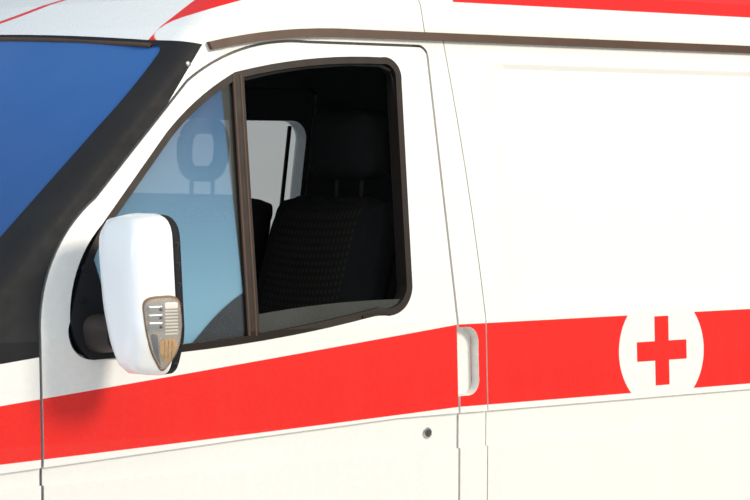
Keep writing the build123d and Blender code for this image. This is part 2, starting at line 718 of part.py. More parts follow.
strap_pins = [rod((REAR_HINGE_X, REAR_HINGE_Y, 500), (REAR_HINGE_X, REAR_HINGE_Y, 1900), 6 + SEAT_GAP)]
straps = Compound(children=solids_of(*door_straps)) - OUTER - (body_solid(-5) - rear_prism)
straps = straps - block((-FAR, 0), (REAR_HINGE_Y + 12, FAR), UPWARDS)
parts["rear_door_left"] = (rear_door + solids_of(straps)) - strap_pins
parts["rear_door_right"] = flipped(parts["rear_door_left"])
outside_hinges = Compound(children=solids_of(*body_hinges)) - OUTER
parts["load_side_left"] = parts["load_side_left"] + solids_of(outside_hinges)
parts["load_side_right"] = parts["load_side_right"] + solids_of(flipped(outside_hinges))
parts["rear_glass_left"] = (body_solid(8) - body_solid(13)) & along(
    offset(rear_window, -SEAT_GAP), -3000, -2500
)
parts["rear_glass_right"] = flipped(parts["rear_glass_left"])

# Floor, with the step wells' inner walls and the sill below the rear doors
cab_floor = body_solid(FENDER_THICK + FIREWALL_THICK + SEAT_GAP, SILL_Z - 60) & block(
    (DOOR_FRONT_X, FAR), SIDEWAYS, (FLOOR_Z, FLOOR_Z + FLOOR_THICK)
)
floor = LINED & block((-2628, DOOR_FRONT_X), SIDEWAYS, (FLOOR_Z, FLOOR_Z + FLOOR_THICK))
door_strip = OUTER - body_solid(WALL + 7, SILL_Z - 60)
floor = floor - (door_strip & block((200, 1270), SIDEWAYS, UPWARDS))
well_wall = (body_solid(WALL + 7, SILL_Z - 60) - body_solid(120, SILL_Z - 60)) & block(
    (DOOR_REAR_X, HINGE_X - 25), SIDEWAYS, (DOOR_LOW_Z - PANEL_GAP / 2, FLOOR_Z)
)
floor = floor + cab_floor + well_wall - front_well - flipped(front_well)
parts["floor"] = floor + (rear_sill & block((-FAR, 0), SIDEWAYS, (0, 700)))

# Chassis: two rails with cross members, and mounts up to the floor
rail_face = outline(
    (-2610, 600),
    (-2610, FRAME_TOP_Z),
    (1250, FRAME_TOP_Z),
    (1500, 600),
    (2480, 600),
    (2480, 520),
    (1560, 520),
    (1250, FRAME_LOW_Z),
    (-2500, FRAME_LOW_Z),
)
rail = across(rail_face, FRAME_Y, FRAME_Y + RAIL_WIDTH)
cross_members = [
    block((x, x + 60), (-FRAME_Y, FRAME_Y), (low_z, low_z + 58))
    for x, low_z in ((2390, 530), (860, 560), (200, 560), (-800, 560), (-1650, 560), (-2560, 560))
]
floor_mounts = [
    block((x, x + 80), (FRAME_Y, FRAME_Y + RAIL_WIDTH), (FRAME_TOP_Z, FLOOR_Z))
    for x in (1100, 300, -600, -1500, -2400)
]
bumper_bracket = block((2470, 2720), (FRAME_Y + 4, FRAME_Y + 44), (530, 590)) & nose_solid(20 + SEAT_GAP)
side_members = [rail, bumper_bracket] + floor_mounts
parts["chassis_frame"] = (
    rail + side_members[1:] + cross_members + [flipped(member) for member in side_members]
)


def revolved(profile, x, y, z):
    """A wheel part: a profile of (radius, y) points turned about the wheel's axle."""
    face = make_face([Line(a, b) for a, b in zip(profile, profile[1:] + profile[:1])])
    turned = revolve(Plane.XY * face, axis=Axis.Y)
    return Pos(x, y, z) * turned


def tyre(x, y):
    half = TYRE_WIDTH / 2
    profile = [
        (TYRE_INNER_R, -half + 22),
        (TYRE_INNER_R + 20, -half + 8),
        (270, -half),
        (WHEEL_R - 22, -half + 10),
        (WHEEL_R - 6, -half + 20),
        (WHEEL_R, -half + 40),
        (WHEEL_R, half - 40),
        (WHEEL_R - 6, half - 20),
        (WHEEL_R - 22, half - 10),
        (270, half),
        (TYRE_INNER_R + 20, half - 8),
        (TYRE_INNER_R, half - 22),
    ]
    return revolved(profile, x, y, WHEEL_R)


def rim(x, y, face_y, hub_out, hub_in):
    """A pressed steel wheel: barrel, dished disc at face_y and hub between hub_in and hub_out."""
    half = RIM_WIDTH / 2
    outer = TYRE_INNER_R
    profile = [
        (outer, -half + 4),
        (outer, half - 4),
        (outer + 10, half - 4),
        (outer + 10, half),
        (outer - 6, half),
        (outer - RIM_THICK, half - 12),
        (outer - RIM_THICK, face_y + 22),
        (150, face_y + 12),
        (110, face_y + 14),
        (62, hub_out - 8),
        (50, hub_out),
        (HUB_BORE_R + SEAT_GAP, hub_out),
        (HUB_BORE_R + SEAT_GAP, hub_in),
        (62, hub_in),
        (62, face_y + 2),
        (150, face_y),
        (outer - RIM_THICK, face_y + 8),
        (outer - RIM_THICK, -half + 12),
        (outer - 6, -half),
        (outer + 10, -half),
        (outer + 10, -half + 4),
    ]
    wheel = revolved(profile, x, y, WHEEL_R)
    holes = [
        Pos(x, y, WHEEL_R)
        * Rot(0, 360 / 10 * i, 0)
        * Pos(130, face_y, 0)
        * Rot(90, 0, 0)
        * Cylinder(15, 80)
        for i in range(10)
    ]
    return wheel - holes


front_y = FRONT_TRACK / 2
parts["tyre_front_left"] = tyre(FRONT_AXLE_X, front_y)
parts["rim_front_left"] = rim(FRONT_AXLE_X, front_y, 12, 60, -5)
parts["tyre_front_right"] = flipped(parts["tyre_front_left"])
parts["rim_front_right"] = flipped(parts["rim_front_left"])
rear_in = REAR_TRACK / 2 - TWIN_SPACING / 2
rear_out = REAR_TRACK / 2 + TWIN_SPACING / 2
parts["tyres_rear_left"] = Compound(
    children=solids_of(tyre(REAR_AXLE_X, rear_in), tyre(REAR_AXLE_X, rear_out))
)


def twin_rims():
    """Two rims bolted back to back on one drum hub."""
    half = RIM_WIDTH / 2
    outer = TYRE_INNER_R
    inner_rim = [
        (outer, -half + 4),
        (outer, half - 4),
        (outer + 10, half - 4),
        (outer + 10, half),
        (outer - 6, half),
        (outer - RIM_THICK, half),
        (150, half + 20),
        (110, TWIN_SPACING / 2),
        (HUB_BORE_R + SEAT_GAP, TWIN_SPACING / 2),
        (HUB_BORE_R + SEAT_GAP, TWIN_SPACING / 2 - 12),
        (110, TWIN_SPACING / 2 - 12),
        (150, half + 8),
        (outer - RIM_THICK, half - 12),
        (outer - RIM_THICK, -half + 12),
        (outer - 6, -half),
        (outer + 10, -half),
        (outer + 10, -half + 4),
    ]
    inner = revolved(inner_rim, REAR_AXLE_X, rear_in, WHEEL_R)
    outer_rim = mirror(inner, about=Plane.XZ.offset(-REAR_TRACK / 2))
    hub = Pos(REAR_AXLE_X, REAR_TRACK / 2 + 40, WHEEL_R) * Rot(90, 0, 0) * Cylinder(58, 80)
    bore_end = (REAR_AXLE_X, REAR_TRACK / 2 + 60, WHEEL_R)
    hub -= rod((REAR_AXLE_X, 0, WHEEL_R), bore_end, HUB_BORE_R + SEAT_GAP)
    wheel = inner + outer_rim + hub
    holes = [
        Pos(REAR_AXLE_X, REAR_TRACK / 2, WHEEL_R)
        * Rot(0, 360 / 10 * i, 0)
        * Pos(140, 0, 0)
        * Rot(90, 0, 0)
        * Cylinder(16, 90)
        for i in range(10)
    ]
    return wheel - holes


parts["tyres_rear_right"] = flipped(parts["tyres_rear_left"])
parts["rims_rear_left"] = twin_rims()
parts["rims_rear_right"] = flipped(parts["rims_rear_left"])

# Front axle beam, springs and knuckles
beam_face = outline(
    (-KINGPIN_Y, 290),
    (-KINGPIN_Y, 370),
    (-KINGPIN_Y + 40, 370),
    (-600, 310),
    (600, 310),
    (KINGPIN_Y - 40, 370),
    (KINGPIN_Y, 370),
    (KINGPIN_Y, 290),
    (KINGPIN_Y - 40, 290),
    (620, 240),
    (-620, 240),
    (-KINGPIN_Y + 40, 290),
)
beam = along(beam_face, FRONT_AXLE_X - 24, FRONT_AXLE_X + 24)
beam_eye = rod((FRONT_AXLE_X, KINGPIN_Y, 290), (FRONT_AXLE_X, KINGPIN_Y, 370), 27)
kingpin = rod((FRONT_AXLE_X, KINGPIN_Y, 240), (FRONT_AXLE_X, KINGPIN_Y, 420), 14)
parts["front_axle"] = beam + [beam_eye, kingpin, flipped(beam_eye), flipped(kingpin)]
knuckle = block((FRONT_AXLE_X - 28, FRONT_AXLE_X + 28), (KINGPIN_Y - 24, KINGPIN_Y + 52), (376, 430))
knuckle += block((FRONT_AXLE_X - 28, FRONT_AXLE_X + 28), (KINGPIN_Y - 24, KINGPIN_Y + 52), (232, 284))
knuckle += block((FRONT_AXLE_X - 34, FRONT_AXLE_X + 34), (KINGPIN_Y + 36, KINGPIN_Y + 62), (232, 430))
knuckle += rod((FRONT_AXLE_X, KINGPIN_Y + 50, WHEEL_R), (FRONT_AXLE_X, front_y + 52, WHEEL_R), HUB_BORE_R)
knuckle -= rod((FRONT_AXLE_X, KINGPIN_Y, 220), (FRONT_AXLE_X, KINGPIN_Y, 440), 14 + SEAT_GAP)
parts["knuckle_left"] = knuckle
parts["knuckle_right"] = flipped(knuckle)
SPRING_Y = (405, 455)
SPRING_MIDDLE = sum(SPRING_Y) / 2
SPRING_PAD_HALF = 30


def leaf_spring(x, low_z, half_length, top_z):
    """A leaf pack that curves up from the axle seat to both hangers under the rail."""
    arc = outline(
        (x - half_length, top_z),
        ((x, low_z), (x + half_length, top_z)),
        (x + half_length, top_z - 14),
        ((x, low_z - 34), (x - half_length, top_z - 14)),
    )
    return across(arc, *SPRING_Y)


front_spring = leaf_spring(FRONT_AXLE_X, 344, 620, 470)
rear_spring = leaf_spring(REAR_AXLE_X, 430, 660, 478)
hangers = [
    block((x - 22, x + 22), (SPRING_Y[0], SPRING_Y[1]), (445, FRAME_LOW_Z + 20))
    for x in (FRONT_AXLE_X - 620, FRONT_AXLE_X + 620, REAR_AXLE_X - 660, REAR_AXLE_X + 660)
]
springs = front_spring + rear_spring + hangers
springs = springs - parts["chassis_frame"]
parts["leaf_springs"] = both(springs)
pad_sides = [(s * SPRING_MIDDLE - SPRING_PAD_HALF, s * SPRING_MIDDLE + SPRING_PAD_HALF) for s in (-1, 1)]
front_pads = [block((FRONT_AXLE_X - 50, FRONT_AXLE_X + 50), side, (300, 312)) for side in pad_sides]
parts["front_axle"] = parts["front_axle"] + front_pads
parts["front_axle"] = parts["front_axle"] - parts["leaf_springs"]
drum = rod((REAR_AXLE_X, 600, WHEEL_R), (REAR_AXLE_X, 748, WHEEL_R), 130)
stub = rod((REAR_AXLE_X, 740, WHEEL_R), (REAR_AXLE_X, REAR_TRACK / 2 + 58, WHEEL_R), HUB_BORE_R)
tube = rod((REAR_AXLE_X, -600, WHEEL_R), (REAR_AXLE_X, 600, WHEEL_R), 48)
housing = Pos(REAR_AXLE_X, 0, WHEEL_R) * Sphere(150)
rear_pads = [block((REAR_AXLE_X - 55, REAR_AXLE_X + 55), side, (WHEEL_R, 402)) for side in pad_sides]
rear_axle = tube + housing + drum + flipped(drum) + stub + flipped(stub) + rear_pads
parts["rear_axle"] = rear_axle - parts["leaf_springs"]
engine = block((1680, 2290), (-240, 240), (450, 1010)) + block((930, 1680), (-120, 120), (430, 690))
parts["engine"] = engine + block((1900, 1960), (-FRAME_Y, FRAME_Y), (535, 585))
prop_shaft = rod((REAR_AXLE_X + 100, 0, WHEEL_R + 20), (940, 0, 505), 38)
parts["prop_shaft"] = prop_shaft - parts["rear_axle"] - parts["engine"]

# Behind the rear: step bumper and tail lamps
step_zone = block((-FAR, -2570), (-1012, 1012), (SILL_Z, 545))
parts["rear_step"] = (body_solid(-46) - body_solid(-SEAT_GAP)) & step_zone
tail_lamp_face = rounded((885, 700), (1030, 1010), 18)
tail_lamp = (body_solid(-8) - OUTER) & along(tail_lamp_face, -2900, -2630)
parts["tail_lamps"] = both(tail_lamp)

# Drip rails above the doors and the load sides
rail_band = outline(
    (-2640, 1961),
    (-2640, 1979),
    (430, 1979),
    ((625, 1971), (812, 1940)),
    (806, 1924),
    ((620, 1953), (430, 1961)),
)
parts["drip_rails"] = both((body_solid(-12) - OUTER) & across(rail_band, *LEFT_DEPTH))

# Inside the cab
SEAT_Y = 470
SEAT_BACK_SHIFT = 75
HEADREST_Z = (1640, 1812)


def cab_seat(low_y, high_y, headrests):
    """A seat: cushion on a box, leaning back and headrests on posts."""
    back_face = outline((300, 1110), (400, 1110), (262, 1615), ((215, 1628), (165, 1610)))
    cushion = block((300, 820), (low_y, high_y), (985, 1110))
    base = block((330, 780), (low_y + 40, high_y - 40), (FLOOR_Z + FLOOR_THICK, 985))
    back = across(back_face, low_y, high_y)
    rest = [
        across(rounded((145, HEADREST_Z[0]), (245, HEADREST_Z[1]), 38), y - 125, y + 125)
        + rod((200, y - 50, 1600), (200, y - 50, HEADREST_Z[0] + 10), 6)
        + rod((200, y + 50, 1600), (200, y + 50, HEADREST_Z[0] + 10), 6)
        for y in headrests
    ]
    return Pos(-SEAT_BACK_SHIFT, 0, 0) * (cushion + base + back + rest)


parts["driver_seat"] = cab_seat(SEAT_Y - 240, SEAT_Y + 240, [SEAT_Y])
parts["passenger_seat"] = cab_seat(-800, 60, [-570, -170])
dash_face = outline(
    (1010, 1050),
    ((980, 1180), (1080, 1270)),
    (1330, 1285),
    (1480, 1285),
    (1480, 1180),
    (1330, 1000),
    (1060, 980),
)
parts["dashboard"] = across(dash_face, -880, 880) & body_solid(FENDER_THICK + FIREWALL_THICK + SEAT_GAP)
wheel_tilt = math.radians(55)
wheel_plane = Plane(origin=(880, SEAT_Y, 1250), z_dir=(-math.cos(wheel_tilt), 0, math.sin(wheel_tilt)))
ring = wheel_plane * Torus(195, 15)
spokes = wheel_plane * (Box(380, 34, 14) + Cylinder(55, 40))
column = rod((884, SEAT_Y, 1244), (1062, SEAT_Y, 990), 26)
parts["steering_wheel"] = (ring + spokes + column) - parts["dashboard"]

# Roof lights
bar_x = (150, 430)
bar_base = upright(rounded((bar_x[0], -640), (bar_x[1], 640), 60), 2206, 2236)
bar_base += upright(rounded((175, -232), (405, 232), 20), 2236, 2320)
feet = [block((230, 350), (y - 60, y + 60), (2150, 2207)) for y in (-420, 420)]
parts["light_bar_base"] = (bar_base + feet) - OUTER
domes = [upright(rounded((165, y0), (415, y1), 50), 2236, 2330) for y0, y1 in ((-625, -240), (240, 625))]
parts["light_bar_domes"] = Compound(children=solids_of(*domes))
exhaust = rod((700, -520, 420), (-900, -520, 420), 28) + rod((300, -520, 420), (-250, -520, 420), 85)
hangers = [
    block((x - 10, x + 10), (-532, -430), (495, FRAME_LOW_Z))
    + block((x - 10, x + 10), (-532, -508), (430, 500))
    for x in (500, 0, -700)
]
parts["exhaust"] = exhaust + hangers
tank_y = FRAME_Y + RAIL_WIDTH + SEAT_GAP
parts["fuel_tank"] = block((-520, 60), (tank_y, 860), (430, 640))

os.makedirs("parts", exist_ok=True)
for name, shape in parts.items():
    export_step(Compound(children=solids_of(shape)), f"parts/{name}.step")
print(len(parts), "nodes")
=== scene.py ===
"""A van ambulance with opening doors and bonnet, dressed for a soft studio picture.

Everything is in metres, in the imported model's frame: +X forward, +Y to the vehicle's left,
+Z up, and the origin on the ground below the middle of the vehicle.
"""

import logging
import math
from collections.abc import Sequence
from dataclasses import dataclass
from enum import Enum

import bmesh
import bpy
from mathutils import Matrix, Vector
from mathutils.bvhtree import BVHTree


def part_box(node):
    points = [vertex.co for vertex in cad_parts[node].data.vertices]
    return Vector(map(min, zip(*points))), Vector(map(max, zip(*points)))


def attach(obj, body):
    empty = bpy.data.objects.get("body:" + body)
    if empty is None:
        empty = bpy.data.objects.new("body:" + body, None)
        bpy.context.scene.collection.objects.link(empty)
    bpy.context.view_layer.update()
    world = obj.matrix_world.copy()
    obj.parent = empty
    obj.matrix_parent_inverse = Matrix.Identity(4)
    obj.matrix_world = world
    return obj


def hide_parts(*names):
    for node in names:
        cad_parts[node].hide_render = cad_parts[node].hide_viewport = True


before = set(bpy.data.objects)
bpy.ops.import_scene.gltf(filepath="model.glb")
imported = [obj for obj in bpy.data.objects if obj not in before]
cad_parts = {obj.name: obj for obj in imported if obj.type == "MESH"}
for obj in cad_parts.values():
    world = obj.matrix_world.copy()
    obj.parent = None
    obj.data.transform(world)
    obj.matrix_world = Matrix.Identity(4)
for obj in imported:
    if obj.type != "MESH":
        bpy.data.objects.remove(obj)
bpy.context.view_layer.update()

LOG = logging.getLogger("ambulance")
Color = tuple[float, float, float]
Point = tuple[float, float, float]
Outline = list[tuple[float, float]]

# Where the axles stand along x, and the height of their hubs.
FRONT_AXLE, REAR_AXLE, HUB_HEIGHT = 1.725, -1.175, 0.342
# The door's rear edge in x, its waist in z, its lean per metre above that, and twice its bow's radius.
DOOR_REAR, WAIST, LEAN, BOW = 0.23, 1.34, 0.1827, 36
# Directions in the vehicle's frame.
FORE, AFT = (1, 0, 0), (-1, 0, 0)
LEFT, RIGHT = (0, 1, 0), (0, -1, 0)
UP, DOWN = (0, 0, 1), (0, 0, -1)
ORIGIN = Matrix.Identity(4)


class Side(Enum):
    """One side of the vehicle, as the sign of its y values."""

    LEFT = 1
    RIGHT = -1

    @property
    def word(self) -> str:
        """The side's word in the names of nodes and bodies."""
        return self.name.lower()


# Node trees


class Value:
    """A number that varies over a surface; arithmetic on it adds Math nodes."""

    def __init__(self, graph: "Graph", socket: bpy.types.NodeSocket) -> None:
        """Keeps the tree and the socket that carries the number."""
        self.graph = graph
        self.socket = socket

    def join(self, operation: str, *others: "Value | float") -> "Value":
        """Adds one Math node.

        Args:
            operation: The Math node's operation.
            others: Its second and third inputs.

        Returns:
            The node's result.
        """
        node = self.graph.tree.nodes.new("ShaderNodeMath")
        node.operation = operation
        for socket, source in zip(node.inputs, (self, *others)):
            self.graph.feed(socket, source)
        return Value(self.graph, node.outputs[0])

    def __add__(self, other: "Value | float") -> "Value":
        """The sum."""
        return self.join("ADD", other)

    def __radd__(self, other: float) -> "Value":
        """The sum, with the number first."""
        return self + other

    def __sub__(self, other: "Value | float") -> "Value":
        """The difference."""
        return self.join("SUBTRACT", other)

    def __rsub__(self, other: float) -> "Value":
        """The difference from a number."""
        return (self * -1.0) + other

    def __mul__(self, other: "Value | float") -> "Value":
        """The product."""
        return self.join("MULTIPLY", other)

    def __rmul__(self, other: float) -> "Value":
        """The product, with the number first."""
        return self * other

    def size(self) -> "Value":
        """The value without its sign."""
        return self.join("ABSOLUTE")

    def sine(self) -> "Value":
        """The sine of an angle in radians."""
        return self.join("SINE")

    def power(self, exponent: float) -> "Value":
        """The value raised to an exponent."""
        return self.join("POWER", exponent)

    def least(self, other: "Value | float") -> "Value":
        """The lower of two values."""
        return self.join("MINIMUM", other)

    def most(self, other: "Value | float") -> "Value":
        """The higher of two values."""
        return self.join("MAXIMUM", other)

    def above(self, edge: "Value | float", soft: float = 0.001) -> "Value":
        """A mask that is 1 above an edge.

        Args:
            edge: Where the mask changes.
            soft: The width of the change.

        Returns:
            The mask, from 0 to 1.
        """
        ramp = (self - edge) * (1.0 / soft) + 0.5
        ramp.socket.node.use_clamp = True
        return ramp

    def below(self, edge: "Value | float", soft: float = 0.001) -> "Value":
        """A mask that is 1 below an edge, changing over soft."""
        return 1.0 - self.above(edge, soft)

    def between(self, low: "Value | float", high: "Value | float", soft: float = 0.001) -> "Value":
        """A mask that is 1 from low to high, changing over soft."""
        return self.above(low, soft) * self.below(high, soft)


class Graph:
    """A node tree that is being built."""

    def __init__(self, tree: bpy.types.NodeTree) -> None:
        """Keeps the tree."""
        self.tree = tree

    def feed(self, socket: bpy.types.NodeSocket, source: object) -> None:
        """Links a source to a socket, or sets the socket's own value.

        Args:
            socket: The input.
            source: A Value, a socket or a plain value.
        """
        if isinstance(source, Value):
            source = source.socket
        if isinstance(source, bpy.types.NodeSocket):
            self.tree.links.new(source, socket)
        elif socket.type == "RGBA" and len(source) == 3:
            socket.default_value = (*source, 1.0)
        else:
            socket.default_value = source

    def add(self, kind: str, settings: dict[str, object], sources: dict[str, object]) -> bpy.types.Node:
        """Adds one node: its settings first, then its inputs.

        Args:
            kind: The node's type.
            settings: Properties of the node.
            sources: What feeds each input, by the input's identifier or name.

        Returns:
            The node.
        """
        node = self.tree.nodes.new(kind)
        for key, setting in settings.items():
            setattr(node, key, setting)
        for key, source in sources.items():
            socket = next((s for s in node.inputs if s.identifier == key), None) or node.inputs[key]
            self.feed(socket, source)
        return node

    def blend(self, factor: Value | float, first: object, second: object) -> bpy.types.NodeSocket:
        """Mixes two colours.

        Args:
            factor: 0 for the first, 1 for the second.
            first: A colour or a socket.
            second: A colour or a socket.

        Returns:
            The mixed colour's socket.
        """
        sources = {"Factor_Float": factor, "A_Color": first, "B_Color": second}
        node = self.add("ShaderNodeMix", {"data_type": "RGBA"}, sources)
        return next(s for s in node.outputs if s.identifier == "Result_Color")


class Place:
    """Where a surface point is, in the piece's own frame, and what varies over it."""

    def __init__(self, graph: Graph) -> None:
        """Adds the coordinates.

        Args:
            graph: The tree to add to.
        """
        self.graph = graph
        coordinates = graph.add("ShaderNodeTexCoord", {}, {})
        self.point = coordinates.outputs["Object"]
        self.x, self.y, self.z = self._split(self.point)
        self.nx, self.ny, self.nz = self._split(coordinates.outputs["Normal"])

    def _split(self, socket: bpy.types.NodeSocket) -> list[Value]:
        """The three numbers of a vector."""
        node = self.graph.add("ShaderNodeSeparateXYZ", {}, {"Vector": socket})
        return [Value(self.graph, output) for output in node.outputs]

    def stretched(self, scale: Point) -> bpy.types.NodeSocket:
        """The point with each axis multiplied."""
        node = self.graph.add("ShaderNodeMapping", {}, {"Vector": self.point, "Scale": scale})
        return node.outputs[0]

    def noise(self, scale: float, detail: float = 3.0, stretch: Point = (1, 1, 1)) -> Value:
        """Smooth noise.

        Args:
            scale: Its frequency, per metre.
            detail: How many finer layers it has.
            stretch: How each axis is multiplied.

        Returns:
            A value about 0.5.
        """
        vector = self.point if stretch == (1, 1, 1) else self.stretched(stretch)
        node = self.graph.add(
            "ShaderNodeTexNoise", {}, {"Vector": vector, "Scale": scale, "Detail": detail}
        )
        return Value(self.graph, node.outputs[0])

    def cells(self, scale: float) -> Value:
        """The distance to the nearest of many scattered points."""
        node = self.graph.add("ShaderNodeTexVoronoi", {}, {"Vector": self.point, "Scale": scale})
        return Value(self.graph, node.outputs["Distance"])


# Finishes


@dataclass(frozen=True)
class Finish:
    """A surface finish with colour patches, grain, wear and dust."""

    name: str
    color: Color
    roughness: float = 0.5
    metallic: float = 0.0
    coat: float = 0.0
    patch: float = 0.18
    patch_scale: float = 9.0
    grain_scale: float = 1400.0
    grain: float = 0.12
    dust: float = 0.25
    dust_color: Color = (0.42, 0.37, 0.3)
    alpha: float = 1.0
    gloss: float = 0.5
    wear: float = 0.22

    def make(self) -> bpy.types.Material:
        """The material, built once.

        Returns:
            The material, or the one that was built before.
        """
        known = bpy.data.materials.get(self.name)
        if known:
            return known
        material = bpy.data.materials.new(self.name)
        material.use_nodes = True
        graph = Graph(material.node_tree)
        shader = material.node_tree.nodes["Principled BSDF"]
        place = Place(graph)
        self.shade(graph, place, shader)
        return material

    def shade(self, graph: Graph, place: Place, shader: bpy.types.Node) -> None:
        """Feeds the shader with the colour, its dust, wear and relief.

        Args:
            graph: The material's tree.
            place: The surface's coordinates.
            shader: The main shader node.
        """
        patches = place.noise(14.0, 5.0)
        settled = place.nz.above(0.35, 0.6) * 0.6 + place.z.below(0.75, 0.7) * 0.7
        dust = (patches * settled * self.dust).least(0.85)
        graph.feed(shader.inputs["Base Color"], graph.blend(dust, self.tone(graph, place), self.dust_color))
        rough = (place.noise(38.0, 4.0) - 0.5) * self.wear + self.roughness + dust * 0.4
        graph.feed(shader.inputs["Roughness"], rough.most(0.02).least(1.0))
        graph.feed(shader.inputs["Metallic"], self.metallic)
        graph.feed(shader.inputs["Coat Weight"], self.coat)
        graph.feed(shader.inputs["Alpha"], self.alpha)
        shader.inputs["Specular IOR Level"].default_value = self.gloss
        sources = {"Strength": self.grain, "Distance": 0.0003, "Height": self.height(place)}
        graph.feed(shader.inputs["Normal"], graph.add("ShaderNodeBump", {}, sources).outputs[0])

    def tone(self, graph: Graph, place: Place) -> bpy.types.NodeSocket:
        """The colour before dust.

        Args:
            graph: The material's tree.
            place: The surface's coordinates.

        Returns:
            The colour's socket.
        """
        darker = tuple(c * (1 - self.patch) for c in self.color)
        lighter = tuple(min(c * (1 + self.patch) + 0.004, 1.0) for c in self.color)
        return graph.blend(place.noise(self.patch_scale), darker, lighter)

    def height(self, place: Place) -> Value:
        """The relief, as a value about 0.5."""
        return place.noise(self.grain_scale, 2.0)


@dataclass(frozen=True)
class BodyPaint(Finish):
    """White gloss paint with the red stripe, the round cross field and the roof band."""

    red: Color = (0.80, 0.018, 0.012)
    inside: Color = (0.22, 0.22, 0.215)
    stripe_top: float = 1.332
    stripe_low: float = 1.1505
    top_fall: float = 0.1012
    low_fall: float = 0.0402
    fall_start: float = 0.230
    cross_x: float = -0.393
    cross_z: float = 1.245
    field_r: float = 0.139
    cross_span: float = 0.0815
    cross_arm: float = 0.023
    band_low: float = 2.052
    band_high: float = 2.150
    recess: tuple[float, float, float, float] = (0.173, 0.236, 1.1745, 1.3255)

    def shade(self, graph: Graph, place: Place, shader: bpy.types.Node) -> None:
        """Feeds the shader with the paint, its stripes, the lining of inner faces and a painted shade inside
        the door window.

        Args:
            graph: The material's tree.
            place: The surface's coordinates.
            shader: The main shader node.
        """
        x, y, z = place.x, place.y, place.z
        outward = (place.ny * y).above(0.05, 0.02)
        rearward = place.nx.below(-0.6, 0.05) * x.below(-2.55)
        run = (x - self.fall_start).most(0.0)
        stripe = z.between(run * -self.low_fall + self.stripe_low, run * -self.top_fall + self.stripe_top)
        low_x, high_x, low_z, high_z = self.recess
        corner = 0.03
        off_x = ((x - (low_x + high_x + 0.02) / 2).size() - ((high_x + 0.02 - low_x) / 2 - corner)).most(0.0)
        off_z = ((z - (low_z + high_z) / 2).size() - ((high_z - low_z) / 2 - corner)).most(0.0)
        grip = (off_x * off_x + off_z * off_z).power(0.5).below(corner) * x.below(0.2285)
        stripe = stripe * (1.0 - grip)
        from_x, from_z = (x - self.cross_x).size(), (z - self.cross_z).size()
        disc = (from_x * from_x + from_z * from_z).power(0.5).below(self.field_r)
        cross = from_x.below(self.cross_arm) * from_z.below(self.cross_span)
        cross = cross.most(from_x.below(self.cross_span) * from_z.below(self.cross_arm))
        side_red = (
            (stripe * (1.0 - disc)).most(cross) * outward * place.nz.below(0.5, 0.03) * y.size().above(0.8)
        )
        rear_red = stripe * rearward
        red = side_red.most(rear_red).most(self._roof(x, y, z)).most(self._arc(x, y, z))
        fade = place.noise(5.0, 4.0)
        white = graph.blend(fade, self.color, tuple(c * 0.965 for c in self.color))
        fresh = graph.blend(fade, self.red, tuple(c * 1.02 for c in self.red))
        painted = graph.blend(red, white, fresh)
        inner = (place.ny * y).below(-0.05, 0.02).most(place.nz.below(-0.35, 0.1) * z.above(1.85))
        inner = inner.most(place.nx.below(-0.3, 0.1) * x.above(0.6) * z.above(0.75))
        skin_y = 1.008 - (z - WAIST) * LEAN - (x - DOOR_REAR) * (x - DOOR_REAR) * (1 / BOW)
        # Painted shade: body surfaces more than 22 mm inside the door's skin, within the window, are painted
        # near black for the dark cab seen through it.
        painted_cab_shade = (skin_y - y.size()).above(0.022) * x.between(0.30, 1.2) * z.between(1.30, 1.93)
        graph.feed(shader.inputs["Coat Weight"], inner.below(0.5, 0.1) * 0.2)
        shader.inputs["Specular IOR Level"].default_value = 0.35
        shader.inputs["Coat Roughness"].default_value = 0.05
        grime = place.noise(18.0, 6.0) * z.below(0.62, 0.5) * 0.5
        streak = place.noise(30.0, 3.0, (1, 1, 0.12)).above(0.62, 0.3) * z.below(1.1, 0.6) * 0.04
        dusty = graph.blend((grime + streak).least(0.7), painted, (0.36, 0.3, 0.22))
        lined_and_shaded = graph.blend(painted_cab_shade, graph.blend(inner, dusty, self.inside), (0.012, 0.011, 0.01))
        graph.feed(shader.inputs["Base Color"], lined_and_shaded)
        rough = place.noise(60.0) * 0.1 + self.roughness + grime * 0.5 + inner.most(painted_cab_shade) * 0.55
        graph.feed(shader.inputs["Roughness"], rough.least(0.9))
        peel = place.noise(260.0, 1.0) + inner * place.noise(1500.0, 2.0) * 3.0
        sources = {"Strength": 0.015, "Distance": 0.0008, "Height": peel}
        graph.feed(shader.inputs["Normal"], graph.add("ShaderNodeBump", {}, sources).outputs[0])

    def _roof(self, x: Value, y: Value, z: Value) -> Value:
        """The red band along the roof's edge and the arc that sweeps forward and down from it, as a mask.

        Args:
            x: The length.
            y: The width.
            z: The height.

        Returns:
            The mask.
        """
        rise = (z - 1.954) * (1.0 / 0.077)
        rear_edge = 0.882 - rise * 0.0462 - rise * rise * 0.1208
        sweep = x.above(rear_edge, 0.002) * (x + rise * 0.124).below(0.906, 0.002) * z.above(1.94)
        sweep = sweep * y.size().above(0.79, 0.002)
        band = (
            z.above(self.band_low, 0.0015) * x.between(-2.6, rear_edge, 0.002) * y.size().above(0.74, 0.002)
        )
        gap = x.between(0.13, 0.24, 0.002) * z.below(self.band_high)
        return (band * (1.0 - gap)).most(sweep) * z.below(self.band_high, 0.0015)

    def _arc(self, x: Value, y: Value, z: Value) -> Value:
        """The thin red arc over the windscreen, as a mask.

        Args:
            x: The length.
            y: The width.
            z: The height.

        Returns:
            The mask.
        """
        fall = z - 2.897
        reach = (y * y + fall * fall).power(0.5)
        return reach.between(0.926, 0.936, 0.0015) * x.above(0.6) * z.below(2.1)


